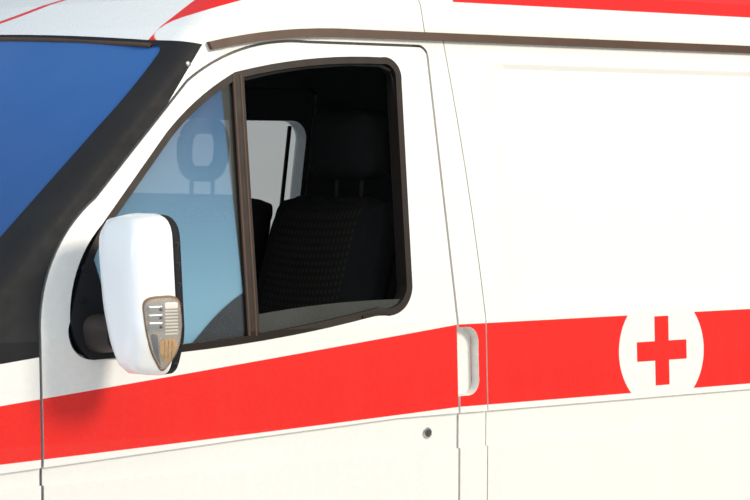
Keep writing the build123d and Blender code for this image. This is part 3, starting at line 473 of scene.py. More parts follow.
@dataclass(frozen=True)
class TintedGlass(Finish):
    """Glass whose colour and cover change with height, with a fine dot screen and patches of dust film."""

    low_color: Color = (0.05, 0.12, 0.3)
    low_z: float = 1.35
    high_z: float = 1.9
    dots: float = 0.0
    low_alpha: float = 0.8
    film: float = 0.05

    def shade(self, graph: Graph, place: Place, shader: bpy.types.Node) -> None:
        """Feeds the shader with the tint, the dots and the dust film.

        Args:
            graph: The material's tree.
            place: The surface's coordinates.
            shader: The main shader node.
        """
        rise = (place.z - self.low_z) * (1.0 / (self.high_z - self.low_z))
        rise = rise.most(0.0).least(1.0)
        glass_color, cover = self.colors(graph, place, rise)
        film = place.noise(6.0, 5.0).above(0.45, 0.5) * self.film
        if self.dots:
            film = film + place.cells(420.0).above(0.42, 0.1) * place.x.above(0.78) * self.dots
        graph.feed(shader.inputs["Base Color"], graph.blend(film, glass_color, (0.5, 0.56, 0.58)))
        graph.feed(shader.inputs["Alpha"], (cover + film * 0.35).least(1.0))
        graph.feed(shader.inputs["Roughness"], place.noise(25.0, 4.0) * 0.06 + self.roughness)
        shader.inputs["IOR"].default_value = 1.5

    def colors(self, graph: Graph, place: Place, rise: Value) -> tuple[object, Value]:
        """The colour and the cover at a height that runs from 0 to 1."""
        glass_color = graph.blend(rise, self.low_color, self.color)
        return glass_color, rise * (self.alpha - self.low_alpha) + self.low_alpha


@dataclass(frozen=True)
class LoweredGlass(TintedGlass):
    """Door glass: a blue quarter light, partly the glass's own colour and partly a painted reflection, and a
    grey pane that is wound down into its channel.
    """

    bar_x: float = 0.76
    pane: Color = (0.07, 0.07, 0.06)
    shadow: Color = (0.02, 0.024, 0.028)

    def colors(self, graph: Graph, place: Place, rise: Value) -> tuple[object, Value]:
        """The colour and cover: grey behind the divider bar, clear on the right door, and a painted shade at
        the quarter light's lower rear corner, where the dark dashboard shows through.

        Args:
            graph: The material's tree.
            place: The surface's coordinates.
            rise: The height, from 0 to 1.

        Returns:
            The colour and the cover.
        """
        glass_color, cover = super().colors(graph, place, rise)
        # Painted shade: the quarter light's lower rear corner is darkened towards the shadow colour for the
        # dark dashboard behind it.
        run = place.x - 0.7827
        dark = (place.z + run * 0.494 + run * run * 1.895).below(1.4187, 0.004)
        glass_color, cover = graph.blend(dark, glass_color, self.shadow), cover + dark * 0.42
        behind = place.x.below(self.bar_x + 0.02)
        right = place.y.below(0.0)
        glass_color = graph.blend(behind, glass_color, self.pane)
        cover = cover * (1.0 - behind) + behind * 0.55
        return glass_color, cover * (1.0 - right) + right * 0.2


@dataclass(frozen=True)
class WovenCheck(Finish):
    """Seat cloth: columns of small brown dashes on a dark twill, plain on the bolsters."""

    thread: Color = (0.15, 0.105, 0.055)
    column: float = 0.0145
    dash: float = 0.0125
    middles: tuple[float, ...] = (0.470, -0.170, -0.570)
    half_width: float = 0.150

    def tone(self, graph: Graph, place: Place) -> bpy.types.NodeSocket:
        """The cloth's colour with its woven dashes.

        Args:
            graph: The material's tree.
            place: The surface's coordinates.

        Returns:
            The colour's socket.
        """
        run = place.z + place.x * 0.9
        columns = (place.y * (math.tau / self.column)).sine().above(0.1, 0.5)
        rows = (run * (math.tau / self.dash)).sine().above(-0.1, 0.5)
        panel = place.y * 0.0
        for middle in self.middles:
            panel = panel.most((place.y - middle).size().below(self.half_width, 0.004))
        worn = place.noise(12.0, 3.0) * 0.6 + 0.4
        mask = columns * rows * panel * worn
        return graph.blend(mask, super().tone(graph, place), self.thread)

    def height(self, place: Place) -> Value:
        """A fine diagonal twill."""
        grooves = ((place.y + place.z + place.x * 0.9) * (math.tau / 0.0026)).sine() * 0.5
        return grooves + place.noise(900.0, 1.0)


WHITE = BodyPaint("white_paint", (0.86, 0.845, 0.8), roughness=0.22)
TRIM = Finish(
    "matt_trim", (0.009, 0.0095, 0.0115), roughness=0.6, patch=0.12, grain_scale=900.0, dust=0.05, gloss=0.2,
)
RAIL = Finish("drip_rail_rubber", (0.075, 0.038, 0.02), roughness=0.45, patch=0.25, dust=0.1, gloss=0.3)
RUBBER = Finish(
    "window_rubber", (0.016, 0.0095, 0.0065), roughness=0.45,
    patch=0.2, patch_scale=30.0, dust=0.08, gloss=0.2
)
PLAIN_WHITE = Finish(
    "shell_white", (0.83, 0.83, 0.83), roughness=0.3, coat=0.2, patch=0.01, grain=0.01, dust=0.04
)
# The windscreen's nearly opaque blue, lighter towards the top, is partly the glass's own colour and partly a
# painted reflection of the sky.
SCREEN = TintedGlass(
    "screen_glass", (0.02, 0.12, 0.37), roughness=0.04, alpha=0.94,
    low_color=(0.011, 0.054, 0.19), low_z=1.35, high_z=1.9, low_alpha=0.9, film=0.03,
)
# The quarter light's blue, pale towards the bottom, is partly the glass's own colour and partly a painted
# reflection.
DOOR_GLASS = LoweredGlass(
    "door_glass", (0.035, 0.11, 0.29), roughness=0.05, alpha=0.46,
    low_color=(0.3, 0.58, 0.76), low_z=1.4, high_z=1.86, low_alpha=0.46, dots=0.025,
)
CLEAR_GLASS = TintedGlass(
    "load_glass", (0.5, 0.6, 0.62), roughness=0.04, alpha=0.16,
    low_color=(0.5, 0.6, 0.62), low_z=1.4, high_z=1.8, low_alpha=0.16,
)
LENS = Finish("clear_lens", (0.86, 0.88, 0.9), roughness=0.08, alpha=0.22, grain=0.05, dust=0.1)
LAMP_COVER = Finish("lamp_cover", (0.86, 0.88, 0.9), roughness=0.06, alpha=0.08, grain=0.02, dust=0.02)
BRIGHT = Finish("bright_field", (0.8, 0.77, 0.7), roughness=0.3, patch=0.03, dust=0.0)
REFLECTOR = Finish(
    "lamp_field", (0.4, 0.36, 0.31), roughness=0.25, metallic=0.6, patch=0.3, patch_scale=40.0, dust=0.0,
)
HONEY = Finish("amber_bowl", (0.5, 0.29, 0.1), roughness=0.2, patch=0.35, patch_scale=70.0, dust=0.0)
ARM = Finish("warm_black", (0.03, 0.021, 0.017), roughness=0.45, gloss=0.3, patch=0.1, dust=0.1)
SHELL_WHITE = Finish(
    "mirror_white", (0.9, 0.885, 0.86), roughness=0.32, coat=0.15, patch=0.004, grain=0.0, dust=0.0, wear=0.02
)
RED_LENS = Finish("red_lens", (0.45, 0.008, 0.01), roughness=0.12, coat=0.7, grain=0.05)
BLUE_LENS = Finish("blue_lens", (0.01, 0.06, 0.55), roughness=0.1, coat=0.8, grain=0.05, alpha=0.92)
AMBER = Finish("amber_lens", (0.85, 0.3, 0.03), roughness=0.15, coat=0.6, grain=0.05)
SILVER = Finish("lamp_reflector", (0.82, 0.82, 0.84), roughness=0.14, metallic=1.0, grain=0.03, dust=0.05)
MIRROR = Finish("mirror_silver", (0.85, 0.87, 0.88), roughness=0.03, metallic=1.0, grain=0.0, dust=0.02)
TYRE = Finish(
    "tyre_rubber", (0.02, 0.02, 0.021), roughness=0.78, patch=0.25, grain_scale=700.0, grain=0.35, dust=0.7
)
WHEEL_PAINT = Finish("wheel_paint", (0.6, 0.6, 0.58), roughness=0.4, patch=0.1, dust=0.6)
CHASSIS = Finish("chassis_paint", (0.022, 0.022, 0.024), roughness=0.6, patch=0.35, grain=0.35, dust=0.75)
IRON = Finish(
    "cast_iron", (0.1, 0.085, 0.07), roughness=0.7, metallic=0.6,
    patch=0.4, grain=0.6, grain_scale=500.0, dust=0.6,
)
FABRIC = Finish("plain_fabric", (0.05, 0.05, 0.052), roughness=0.92, grain_scale=2600.0, grain=0.6, dust=0.05)
DASH = Finish("dash_plastic", (0.032, 0.032, 0.035), roughness=0.6, grain_scale=1100.0, grain=0.35, dust=0.12)
FLOOR_MAT = Finish("floor_mat", (0.09, 0.095, 0.1), roughness=0.75, grain_scale=500.0, grain=0.5, dust=0.25)

TYRE_SIDE = Finish(
    "tyre_sidewall", (0.024, 0.024, 0.025), roughness=0.7, patch=0.25, grain_scale=700.0, grain=0.3, dust=0.6,
)
RIB = Finish("moulded_ribs", (0.026, 0.027, 0.03), roughness=0.5, grain=0.15, dust=0.2)
PLUG = Finish("trim_plug", (0.006, 0.006, 0.008), roughness=0.5, gloss=0.2, dust=0.0)
# Near black painted as the shade inside holes, slots and grooves and behind the grille.
HOLE_SHADE = Finish("deep_black", (0.006, 0.006, 0.006), roughness=0.9, dust=0.05)
CUP = Finish("lamp_cup", (0.35, 0.35, 0.34), roughness=0.25, metallic=0.7, dust=0.05)
AMBER_DARK = Finish("amber_rim", (0.22, 0.12, 0.05), roughness=0.35, dust=0.1)
RIBBED = Finish("ribbed_lens", (0.68, 0.62, 0.52), roughness=0.15, alpha=0.9, dust=0.0)
LENS_WHITE = Finish("white_lens", (0.8, 0.8, 0.78), roughness=0.15, coat=0.6, dust=0.1)
CHROME = Finish("bright_metal", (0.62, 0.61, 0.6), roughness=0.18, metallic=1.0, grain=0.02, dust=0.1)
ALLOY = Finish("brushed_alloy", (0.5, 0.5, 0.5), roughness=0.34, metallic=1.0, grain=0.1, dust=0.1)
STEEL = Finish("worn_steel", (0.32, 0.3, 0.28), roughness=0.42, metallic=0.9, patch=0.3, dust=0.3)
NUT = Finish("zinc_bolt", (0.42, 0.41, 0.38), roughness=0.38, metallic=0.85, patch=0.3, dust=0.35)
WHEEL_CAP = Finish("cap_plastic", (0.14, 0.14, 0.14), roughness=0.45, dust=0.5)
BULB = Finish("bulb_glass", (0.9, 0.88, 0.82), roughness=0.1, coat=0.5, dust=0.0)
PLATE = Finish("blank_plate", (0.72, 0.72, 0.7), roughness=0.4, coat=0.2, patch=0.05, dust=0.25)
CARD = Finish("door_card", (0.045, 0.045, 0.048), roughness=0.75, grain_scale=900.0, grain=0.4, dust=0.1)
LINING = Finish("soft_lining", (0.12, 0.12, 0.12), roughness=0.9, grain_scale=1800.0, grain=0.4, dust=0.1)
BELT = Finish("belt_webbing", (0.016, 0.018, 0.018), roughness=0.7, grain_scale=1500.0, grain=0.5, dust=0.05)
CHECK = WovenCheck("woven_check", (0.04, 0.04, 0.04), roughness=0.95, grain=0.5, dust=0.03)

FINISHED_NODES: tuple[tuple[Finish, str], ...] = (
    (
        WHITE,
        "bonnet roof_cab roof_load load_side_left load_side_right door_frames cab_frame front_wings "
        "nose_panel",
    ),
    (WHITE, "door_left door_right sliding_door rear_door_left rear_door_right"),
    (TRIM, "screen_trim cowl grille front_bumper rear_step light_bar_base"),
    (RUBBER, "door_seal_left door_seal_right"),
    (RAIL, "drip_rails"),
    (SCREEN, "windscreen"),
    (DOOR_GLASS, "door_glass_left door_glass_right"),
    (CLEAR_GLASS, "sliding_door_glass rear_glass_left rear_glass_right"),
    (SHELL_WHITE, "mirror_left mirror_right"),
    (ARM, "mirror_base_left mirror_base_right"),
    (LENS, "headlamps"),
    (RED_LENS, "tail_lamps"),
    (BLUE_LENS, "light_bar_domes"),
    (TYRE, "tyre_front_left tyre_front_right tyres_rear_left tyres_rear_right"),
    (WHEEL_PAINT, "rim_front_left rim_front_right rims_rear_left rims_rear_right"),
    (CHASSIS, "chassis_frame front_axle leaf_springs rear_axle prop_shaft fuel_tank"),
    (IRON, "knuckle_left knuckle_right engine exhaust"),
    (FABRIC, "driver_seat passenger_seat"),
    (DASH, "dashboard steering_wheel"),
    (FLOOR_MAT, "floor"),
)


def dress_nodes() -> None:
    """Gives every node of the frame its finish."""
    finishes = {name: finish for finish, names in FINISHED_NODES for name in names.split()}
    for name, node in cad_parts.items():
        material = finishes[name].make()
        node.data.materials.clear()
        node.data.materials.append(material)
        LOG.info("%s: %s", name, material.name)


# Mesh making


class Skin:
    """The outer surface of some nodes, found by casting rays at it."""

    def __init__(self, *nodes: str) -> None:
        """Gathers the nodes' meshes.

        Args:
            nodes: The nodes' names.
        """
        self.trees = []
        for name in nodes:
            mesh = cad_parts[name].data
            corners = [vertex.co for vertex in mesh.vertices]
            self.trees.append(BVHTree.FromPolygons(corners, [tuple(p.vertices) for p in mesh.polygons]))

    def over(self, form: "Form") -> "Skin":
        """Adds a form's surface and returns this skin.

        Args:
            form: The form.

        Returns:
            This skin.
        """
        form.bm.normal_update()
        self.trees.append(BVHTree.FromBMesh(form.bm))
        return self

    def hit(self, origin: Vector, direction: Vector) -> tuple[Vector, Vector] | None:
        """The first surface point along a ray.

        Args:
            origin: Where the ray starts.
            direction: Where it goes.

        Returns:
            The point and the surface's direction there, or None.
        """
        best = None
        for tree in self.trees:
            place, normal, _, distance = tree.ray_cast(origin, direction)
            if place is not None and (best is None or distance < best[2]):
                best = (place, normal if normal.dot(direction) < 0 else -normal, distance)
        return (best[0], best[1]) if best else None

    def seen(self, origin: Point, direction: Point, instead: Point) -> tuple[Vector, Vector]:
        """The first surface point along a ray, or a point given in its place."""
        return self.hit(Vector(origin), Vector(direction)) or (Vector(instead), -Vector(direction))

    def side(self, x: float, z: float) -> tuple[Vector, Vector]:
        """The left side's surface point at a length and height."""
        return self.seen((x, 3.0, z), RIGHT, (x, 1.0, z))

    def front(self, y: float, z: float) -> tuple[Vector, Vector]:
        """The front's surface point at a width and height."""
        return self.seen((5.0, y, z), AFT, (2.6, y, z))

    def rear(self, y: float, z: float) -> tuple[Vector, Vector]:
        """The rear's surface point at a width and height."""
        return self.seen((-5.0, y, z), FORE, (-2.69, y, z))


def soft_outline(corners: Outline, steps: int = 8, pull: float = 0.5) -> Outline:
    """A closed smooth outline that rounds each corner of a polygon.

    Args:
        corners: The polygon's corners.
        steps: Points per rounded corner.
        pull: The share of each side that its corners round off.

    Returns:
        The outline's points.
    """
    points = []
    count = len(corners)
    for i, (a, b) in enumerate(corners):
        before, after = corners[i - 1], corners[(i + 1) % count]
        start = (a + (before[0] - a) * pull / 2, b + (before[1] - b) * pull / 2)
        end = (a + (after[0] - a) * pull / 2, b + (after[1] - b) * pull / 2)
        for k in range(steps + 1):
            t = k / steps
            points.append(
                tuple(
                    (1 - t) ** 2 * s + 2 * t * (1 - t) * m + t**2 * e for s, m, e in zip(start, (a, b), end)
                )
            )
    return points


def rectangle(width: float, height: float, r: float, steps: int = 6) -> Outline:
    """A rectangle about the origin with round corners.

    Args:
        width: Its width.
        height: Its height.
        r: The corners' radius.
        steps: Points per corner, less one.

    Returns:
        The outline's points.
    """
    points = []
    for cx, cy, start in ((1, 1, 0), (-1, 1, 90), (-1, -1, 180), (1, -1, 270)):
        for k in range(steps + 1):
            angle = math.radians(start + 90 * k / steps)
            points.append(
                (cx * (width / 2 - r) + r * math.cos(angle), cy * (height / 2 - r) + r * math.sin(angle))
            )
    return points


def circle(r: float, steps: int = 32) -> Outline:
    """A circle about the origin."""
    return [(r * math.cos(math.tau * k / steps), r * math.sin(math.tau * k / steps)) for k in range(steps)]


def axes(origin: Sequence[float], out: Sequence[float], up: Sequence[float] = UP) -> Matrix:
    """A frame whose z axis points out and whose y axis is nearest up.

    Args:
        origin: The frame's origin.
        out: The direction of its z axis.
        up: What its y axis leans towards.

    Returns:
        The frame's matrix.
    """
    z = Vector(out).normalized()
    y = Vector(up)
    y = (y - z * y.dot(z)).normalized()
    x = y.cross(z)
    return Matrix.Translation(Vector(origin)) @ Matrix((x, y, z)).transposed().to_4x4()


class Form:
    """A mesh in the making, in the vehicle's frame; the right side's is the left's mirrored."""

    def __init__(self, side: Side | None = None) -> None:
        """Starts an empty mesh; with a side, its piece is named after that side."""
        self.bm = bmesh.new()
        self.side = side

    def rings(self, rings: Sequence[Sequence[Sequence[float]]], caps: bool = True) -> "Form":
        """Joins rings of equal length with a skin.

        Args:
            rings: Points of each ring, in the vehicle's frame.
            caps: Whether the first and last rings are filled.

        Returns:
            This form.
        """
        rows = [[self.bm.verts.new(point) for point in ring] for ring in rings]
        count = len(rows[0])
        for low, high in zip(rows, rows[1:]):
            for i in range(count):
                j = (i + 1) % count
                self.bm.faces.new((low[i], low[j], high[j], high[i]))
        if caps:
            self.bm.faces.new(rows[0][::-1])
            self.bm.faces.new(rows[-1])
        return self

    def spread(
        self, layout: "Layout", seed: "Form", finish: Finish, place: Matrix, **sizes: object
    ) -> "Form":
        """Adds a seed's copies in one layout.

        Args:
            layout: How the copies stand.
            seed: The shape to copy, about its own origin.
            finish: The copies' finish.
            place: Where the pattern stands.
            sizes: The layout's inputs, by name in small letters.

        Returns:
            This form.
        """
        mesh = Pattern(layout).copies(seed, finish, place, **sizes)
        self.bm.from_mesh(mesh)
        bpy.data.meshes.remove(mesh)
        return self

    def prism(self, outline: Outline, place: Matrix, low: float, high: float, edge: float = 0.0) -> "Form":
        """A flat outline with thickness.

        Args:
            outline: Points in the frame's x and y.
            place: The frame.
            low: Where it starts along the frame's z.
            high: Where it ends.
            edge: How much its outer rim is drawn in and rounded.

        Returns:
            This form.
        """
        levels = [(low, 0.0), (high - edge, 0.0)]
        if edge:
            levels += [(high - edge * 0.3, edge * 0.3), (high, edge)]
        middle = Vector([sum(c) / len(outline) for c in zip(*outline)])
        rings = []
        for level, inset in levels:
            ring = []
            for point in outline:
                out = Vector(point) - middle
                drawn = middle + out * max(1 - inset / max(out.length, 1e-6), 0.0)
                ring.append(place @ Vector((drawn.x, drawn.y, level)))
            rings.append(ring)
        return self.rings(rings)

    def turned(self, profile: Outline, place: Matrix, steps: int = 32) -> "Form":
        """Turns a profile about the frame's z axis.

        Args:
            profile: The (radius, height) points.
            place: The frame.
            steps: How many faces go round.

        Returns:
            The form itself.
        """
        rings = [
            [place @ Vector((x, y, height)) for x, y in circle(max(r, 0.0001), steps)]
            for r, height in profile
        ]
        return self.rings(rings)

    def tube(
        self, path: Sequence[Sequence[float]], r: float | Sequence[float],
        steps: int = 12, closed: bool = False,
        flat: float = 1.0,
    ) -> "Form":
        """A round or flattened bar along a path.

        Args:
            path: Its points.
            r: Its radius, or one for each point.
            steps: Points round it.
            closed: Whether it joins its own start.
            flat: How its height is multiplied.

        Returns:
            This form.
        """
        points = [Vector(p) for p in path]
        count = len(points)
        radii = [r] * count if isinstance(r, float) else list(r)
        rings = []
        for i, point in enumerate(points):
            ahead = points[(i + 1) % count] if closed or i < count - 1 else point
            behind = points[i - 1] if closed or i else point
            along = (ahead - behind).normalized()
            up = Vector(UP) if abs(along.z) < 0.9 else Vector(FORE)
            place = axes(point, along, up)
            rings.append([place @ Vector((x, y * flat, 0)) for x, y in circle(radii[i], steps)])
        if closed:
            rings.append([Vector(v) for v in rings[0]])
        return self.rings(rings, caps=not closed)

    def plate(self, width: float, height: float, place: Matrix, thick: float, edge: float) -> "Form":
        """A blank number plate with a raised rim.

        Args:
            width: Its width.
            height: Its height.
            place: The frame of its back.
            thick: Its thickness.
            edge: How much its outer rim is drawn in.

        Returns:
            This form.
        """
        self.prism(rectangle(width, height, 0.008), place, 0.0, thick, edge)
        rim = rectangle(width - 0.008, height - 0.008, 0.006)
        return self.tube([place @ Vector((a, b, thick + 0.0002)) for a, b in rim], 0.0012, 6, closed=True)

    def patch(
        self, outline: Outline, place: Matrix, skin: Skin, lift: float,
        thick: float, rows: int = 6, deep: float = 0.0,
        middle: Sequence[float] = (),
    ) -> "Form":
        """A thin plate that lies on a surface.

        Args:
            outline: Points in the frame's x and y.
            place: The frame; rays go along its negative z axis.
            skin: The surface.
            lift: The plate's height over the surface.
            thick: Its thickness.
            rows: Rings of points between its rim and its middle.
            deep: How far its rim goes down below the lift.
            middle: The point that its rings close in on; without it the mean of the outline.

        Returns:
            This form.
        """
        middle = Vector(middle or [sum(c) / len(outline) for c in zip(*outline)])
        direction = place.to_3x3() @ Vector(DOWN)
        tops, lows = [], []
        for k in range(rows + 1):
            share = max(1 - k / rows, 0.02)
            top, low = [], []
            for point in outline:
                flat = middle + (Vector(point) - middle) * share
                found = skin.hit(place @ Vector((flat.x, flat.y, 0.3)), direction)
                spot, out = found if found else (place @ Vector((flat.x, flat.y, 0)), -direction)
                rise = lift + thick * (0.45 if k == 0 else 1.0)
                top.append(spot + out * rise)
                low.append(spot + out * (lift - deep))
            tops.append(top)
            lows.append(low)
        return self.rings(lows[::-1] + tops)

    def piece(
        self, name: str, finish: Finish, slot: str, body: str = "vehicle", sharp: float = 35.0
    ) -> bpy.types.Object:
        """Finishes the mesh as a piece that rides on a body.

        Args:
            name: The piece's name, less its side.
            finish: Its finish.
            slot: Not used.
            body: The body it rides on, less its side.
            sharp: Edges over this many degrees stay sharp.

        Returns:
            The object.
        """
        if self.side:
            name = f"{name}_{self.side.word}"
            body = body if body == "vehicle" else f"{body}_{self.side.word}"
        if self.side is Side.RIGHT:
            bmesh.ops.scale(self.bm, vec=(1, -1, 1), verts=self.bm.verts)
        bmesh.ops.remove_doubles(self.bm, verts=self.bm.verts, dist=0.00002)
        bmesh.ops.recalc_face_normals(self.bm, faces=self.bm.faces)
        mesh = bpy.data.meshes.new(name)
        self.bm.to_mesh(mesh)
        self.bm.free()
        mesh.shade_smooth()
        mesh.set_sharp_from_angle(angle=math.radians(sharp))
        obj = bpy.data.objects.new(name, mesh)
        bpy.context.scene.collection.objects.link(obj)
        mesh.materials.append(finish.make())
        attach(obj, body)
        LOG.info("%s rides on %s", name, body)
        return obj


def bevel(obj: bpy.types.Object, width: float, segments: int = 2) -> bpy.types.Object:
    """Rounds a piece's sharp edges with a modifier.

    Args:
        obj: The piece.
        width: The rounding's width.
        segments: Its steps.

    Returns:
        The piece.
    """
    rounding = obj.modifiers.new("rounding", "BEVEL")
    rounding.width = width
    rounding.segments = segments
    rounding.limit_method = "ANGLE"
    rounding.angle_limit = math.radians(30)
    return obj


# What repeats


# The (radius, height) profile of a small screw's head.
SCREW: Outline = [(0.0055, 0.0), (0.0055, 0.002), (0.004, 0.0034), (0.001, 0.0036)]


class Layout(Enum):
    """How a pattern's copies stand."""

    RING = "ring"
    LINE = "line"
    GRID = "grid"


class Pattern:
    """A Geometry Nodes tree that copies a seed shape in one layout."""

    makers = {
        Layout.RING: ("GeometryNodeMeshCircle", {"Vertices": "Copies", "Radius": "Radius"}),
        Layout.LINE: ("GeometryNodeMeshLine", {"Count": "Copies", "Offset": "Step"}),
        Layout.GRID: (
            "GeometryNodeMeshGrid",
            {"Vertices X": "Columns", "Vertices Y": "Rows", "Size X": "Width", "Size Y": "Height"},
        ),
    }
    kinds = {
        "Copies": "Int", "Columns": "Int", "Rows": "Int", "Radius": "Float",
        "Width": "Float", "Height": "Float",
        "Step": "Vector",
    }

    def __init__(self, layout: Layout) -> None:
        """Finds the layout's tree, or builds it.

        Args:
            layout: How the copies stand.
        """
        self.layout = layout
        name = f"copies_in_a_{layout.value}"
        self.tree = bpy.data.node_groups.get(name) or self._build(name)

    def _build(self, name: str) -> bpy.types.NodeTree:
        """Builds the tree.

        Args:
            name: The tree's name.

        Returns:
            The tree.
        """
        tree = bpy.data.node_groups.new(name, "GeometryNodeTree")
        tree.interface.new_socket("Result", in_out="OUTPUT", socket_type="NodeSocketGeometry")
        tree.interface.new_socket("Seed shape", in_out="INPUT", socket_type="NodeSocketGeometry")
        maker, sizes = self.makers[self.layout]
        for label in sizes.values():
            tree.interface.new_socket(label, in_out="INPUT", socket_type="NodeSocket" + self.kinds[label])
        tree.interface.new_socket("Finish", in_out="INPUT", socket_type="NodeSocketMaterial")
        graph = Graph(tree)
        given = graph.add("NodeGroupInput", {}, {}).outputs
        points = graph.add(maker, {}, {key: given[label] for key, label in sizes.items()})
        sources = {"Points": points.outputs[0], "Instance": given["Seed shape"]}
        if self.layout is Layout.RING:
            position = graph.add("GeometryNodeInputPosition", {}, {})
            turn = graph.add(
                "FunctionNodeAlignRotationToVector", {"axis": "X", "pivot_axis": "Z"},
                {"Vector": position.outputs[0]}
            )
            sources["Rotation"] = turn.outputs[0]
        copies = graph.add("GeometryNodeInstanceOnPoints", {}, sources)
        real = graph.add("GeometryNodeRealizeInstances", {}, {"Geometry": copies.outputs[0]})
        dressed = graph.add(
            "GeometryNodeSetMaterial", {}, {"Geometry": real.outputs[0], "Material": given["Finish"]}
        )
        graph.add("NodeGroupOutput", {}, {"Result": dressed.outputs[0]})
        return tree

    def copies(self, seed: Form, finish: Finish, place: Matrix, **sizes: object) -> bpy.types.Mesh:
        """The seed's copies as one plain mesh.

        Args:
            seed: The shape to copy, about its own origin.
            finish: The copies' finish.
            place: Where the pattern stands.
            sizes: The layout's inputs, by name in small letters.

        Returns:
            The mesh, moved to its place.
        """
        bmesh.ops.recalc_face_normals(seed.bm, faces=seed.bm.faces)
        mesh = bpy.data.meshes.new("seed")
        seed.bm.to_mesh(mesh)
        seed.bm.free()
        holder = bpy.data.objects.new("seed", mesh)
        bpy.context.scene.collection.objects.link(holder)
        modifier = holder.modifiers.new("copies", "NODES")
        modifier.node_group = self.tree
        given = {name.capitalize(): value for name, value in sizes.items()} | {"Finish": finish.make()}
        for item in self.tree.interface.items_tree:
            if item.in_out == "INPUT" and item.name in given:
                modifier[item.identifier] = given[item.name]
        graph = bpy.context.evaluated_depsgraph_get()
        result = bpy.data.meshes.new_from_object(holder.evaluated_get(graph))
        bpy.data.objects.remove(holder)
        result.transform(place)
        return result


# Studio


@dataclass
class Studio:
    """The camera, the pale floor and the soft lights."""

    eye: Point = (3.596, 5.08, 1.69)
    heading: float = math.radians(37.6)
    focal_pixels: float = 2400.0
    horizon_pixels: float = 88.0
    picture_pixels: float = 750.0
    sensor: float = 36.0
    floor_size: float = 60.0
    sky: Color = (0.62, 0.78, 0.95)

    def build(self) -> None:
        """Makes the whole studio."""
        self._camera()
        self._floor()
        self._world()
        self._light("key", (-2.6, 8.8, 6.0), (0.3, 0.9, 1.3), 2.2, 760.0, (1.0, 0.9, 0.76))
        self._light("top_fill", (1.0, 4.0, 6.0), (0.2, 0.4, 1.4), 5.0, 60.0, (1.0, 0.97, 0.92))
        self._light("front_fill", (7.0, 1.0, 3.6), (1.2, 0.2, 1.4), 3.5, 220.0, (0.72, 0.85, 1.0))

    def _camera(self) -> None:
        """The camera at the photograph's viewing angle."""
        data = bpy.data.cameras.new("camera")
        data.sensor_width = self.sensor
        data.lens = self.sensor * self.focal_pixels / self.picture_pixels
        data.clip_end = 200.0
        camera = bpy.data.objects.new("camera", data)
        bpy.context.scene.collection.objects.link(camera)
        drop = math.atan(self.horizon_pixels / self.focal_pixels)
        level = math.cos(drop)
        look = Vector((-math.sin(self.heading) * level, -math.cos(self.heading) * level, -math.sin(drop)))
        camera.location = self.eye
        camera.rotation_euler = look.to_track_quat("-Z", "Y").to_euler()
        bpy.context.scene.camera = camera

    def _floor(self) -> None:
        """A plain pale floor."""
        half = self.floor_size / 2
        mesh = bpy.data.meshes.new("studio_floor")
        corners = [(-half, -half, 0), (half, -half, 0), (half, half, 0), (-half, half, 0)]
        mesh.from_pydata(corners, [], [(0, 1, 2, 3)])
        floor = bpy.data.objects.new("studio_floor", mesh)
        bpy.context.scene.collection.objects.link(floor)
        finish = Finish(
            "pale_floor", (0.62, 0.61, 0.6), roughness=0.85, patch=0.04, patch_scale=0.8, dust=0.0
        )
        mesh.materials.append(finish.make())

    def _world(self) -> None:
        """An even soft surround, a little bluer upwards."""
        world = bpy.data.worlds.new("surround")
        world.use_nodes = True
        graph = Graph(world.node_tree)
        background = world.node_tree.nodes["Background"]
        coordinates = graph.add("ShaderNodeTexCoord", {}, {})
        split = graph.add("ShaderNodeSeparateXYZ", {}, {"Vector": coordinates.outputs["Generated"]})
        rise = Value(graph, split.outputs[2]).most(0.0).least(0.5) * 2.0
        graph.feed(background.inputs["Color"], graph.blend(rise, (1.0, 1.04, 1.03), self.sky))
        background.inputs["Strength"].default_value = 0.5
        bpy.context.scene.world = world
        bpy.context.scene.view_settings.view_transform = "Standard"

    def _light(self, name: str, place: Point, target: Point, size: float, power: float, color: Color) -> None:
        """Adds a soft area light.

        Args:
            name: The light's name.
            place: Where it stands.
            target: What it faces.
            size: The length of its sides.
            power: Its power in watts.
            color: Its colour.
        """
        data = bpy.data.lights.new(name, "AREA")
        data.size = size
        data.energy = power
        data.color = color
        light = bpy.data.objects.new(name, data)
        light.location = place
        light.rotation_euler = (Vector(target) - Vector(place)).to_track_quat("-Z", "Y").to_euler()
        bpy.context.scene.collection.objects.link(light)


# Door mirror


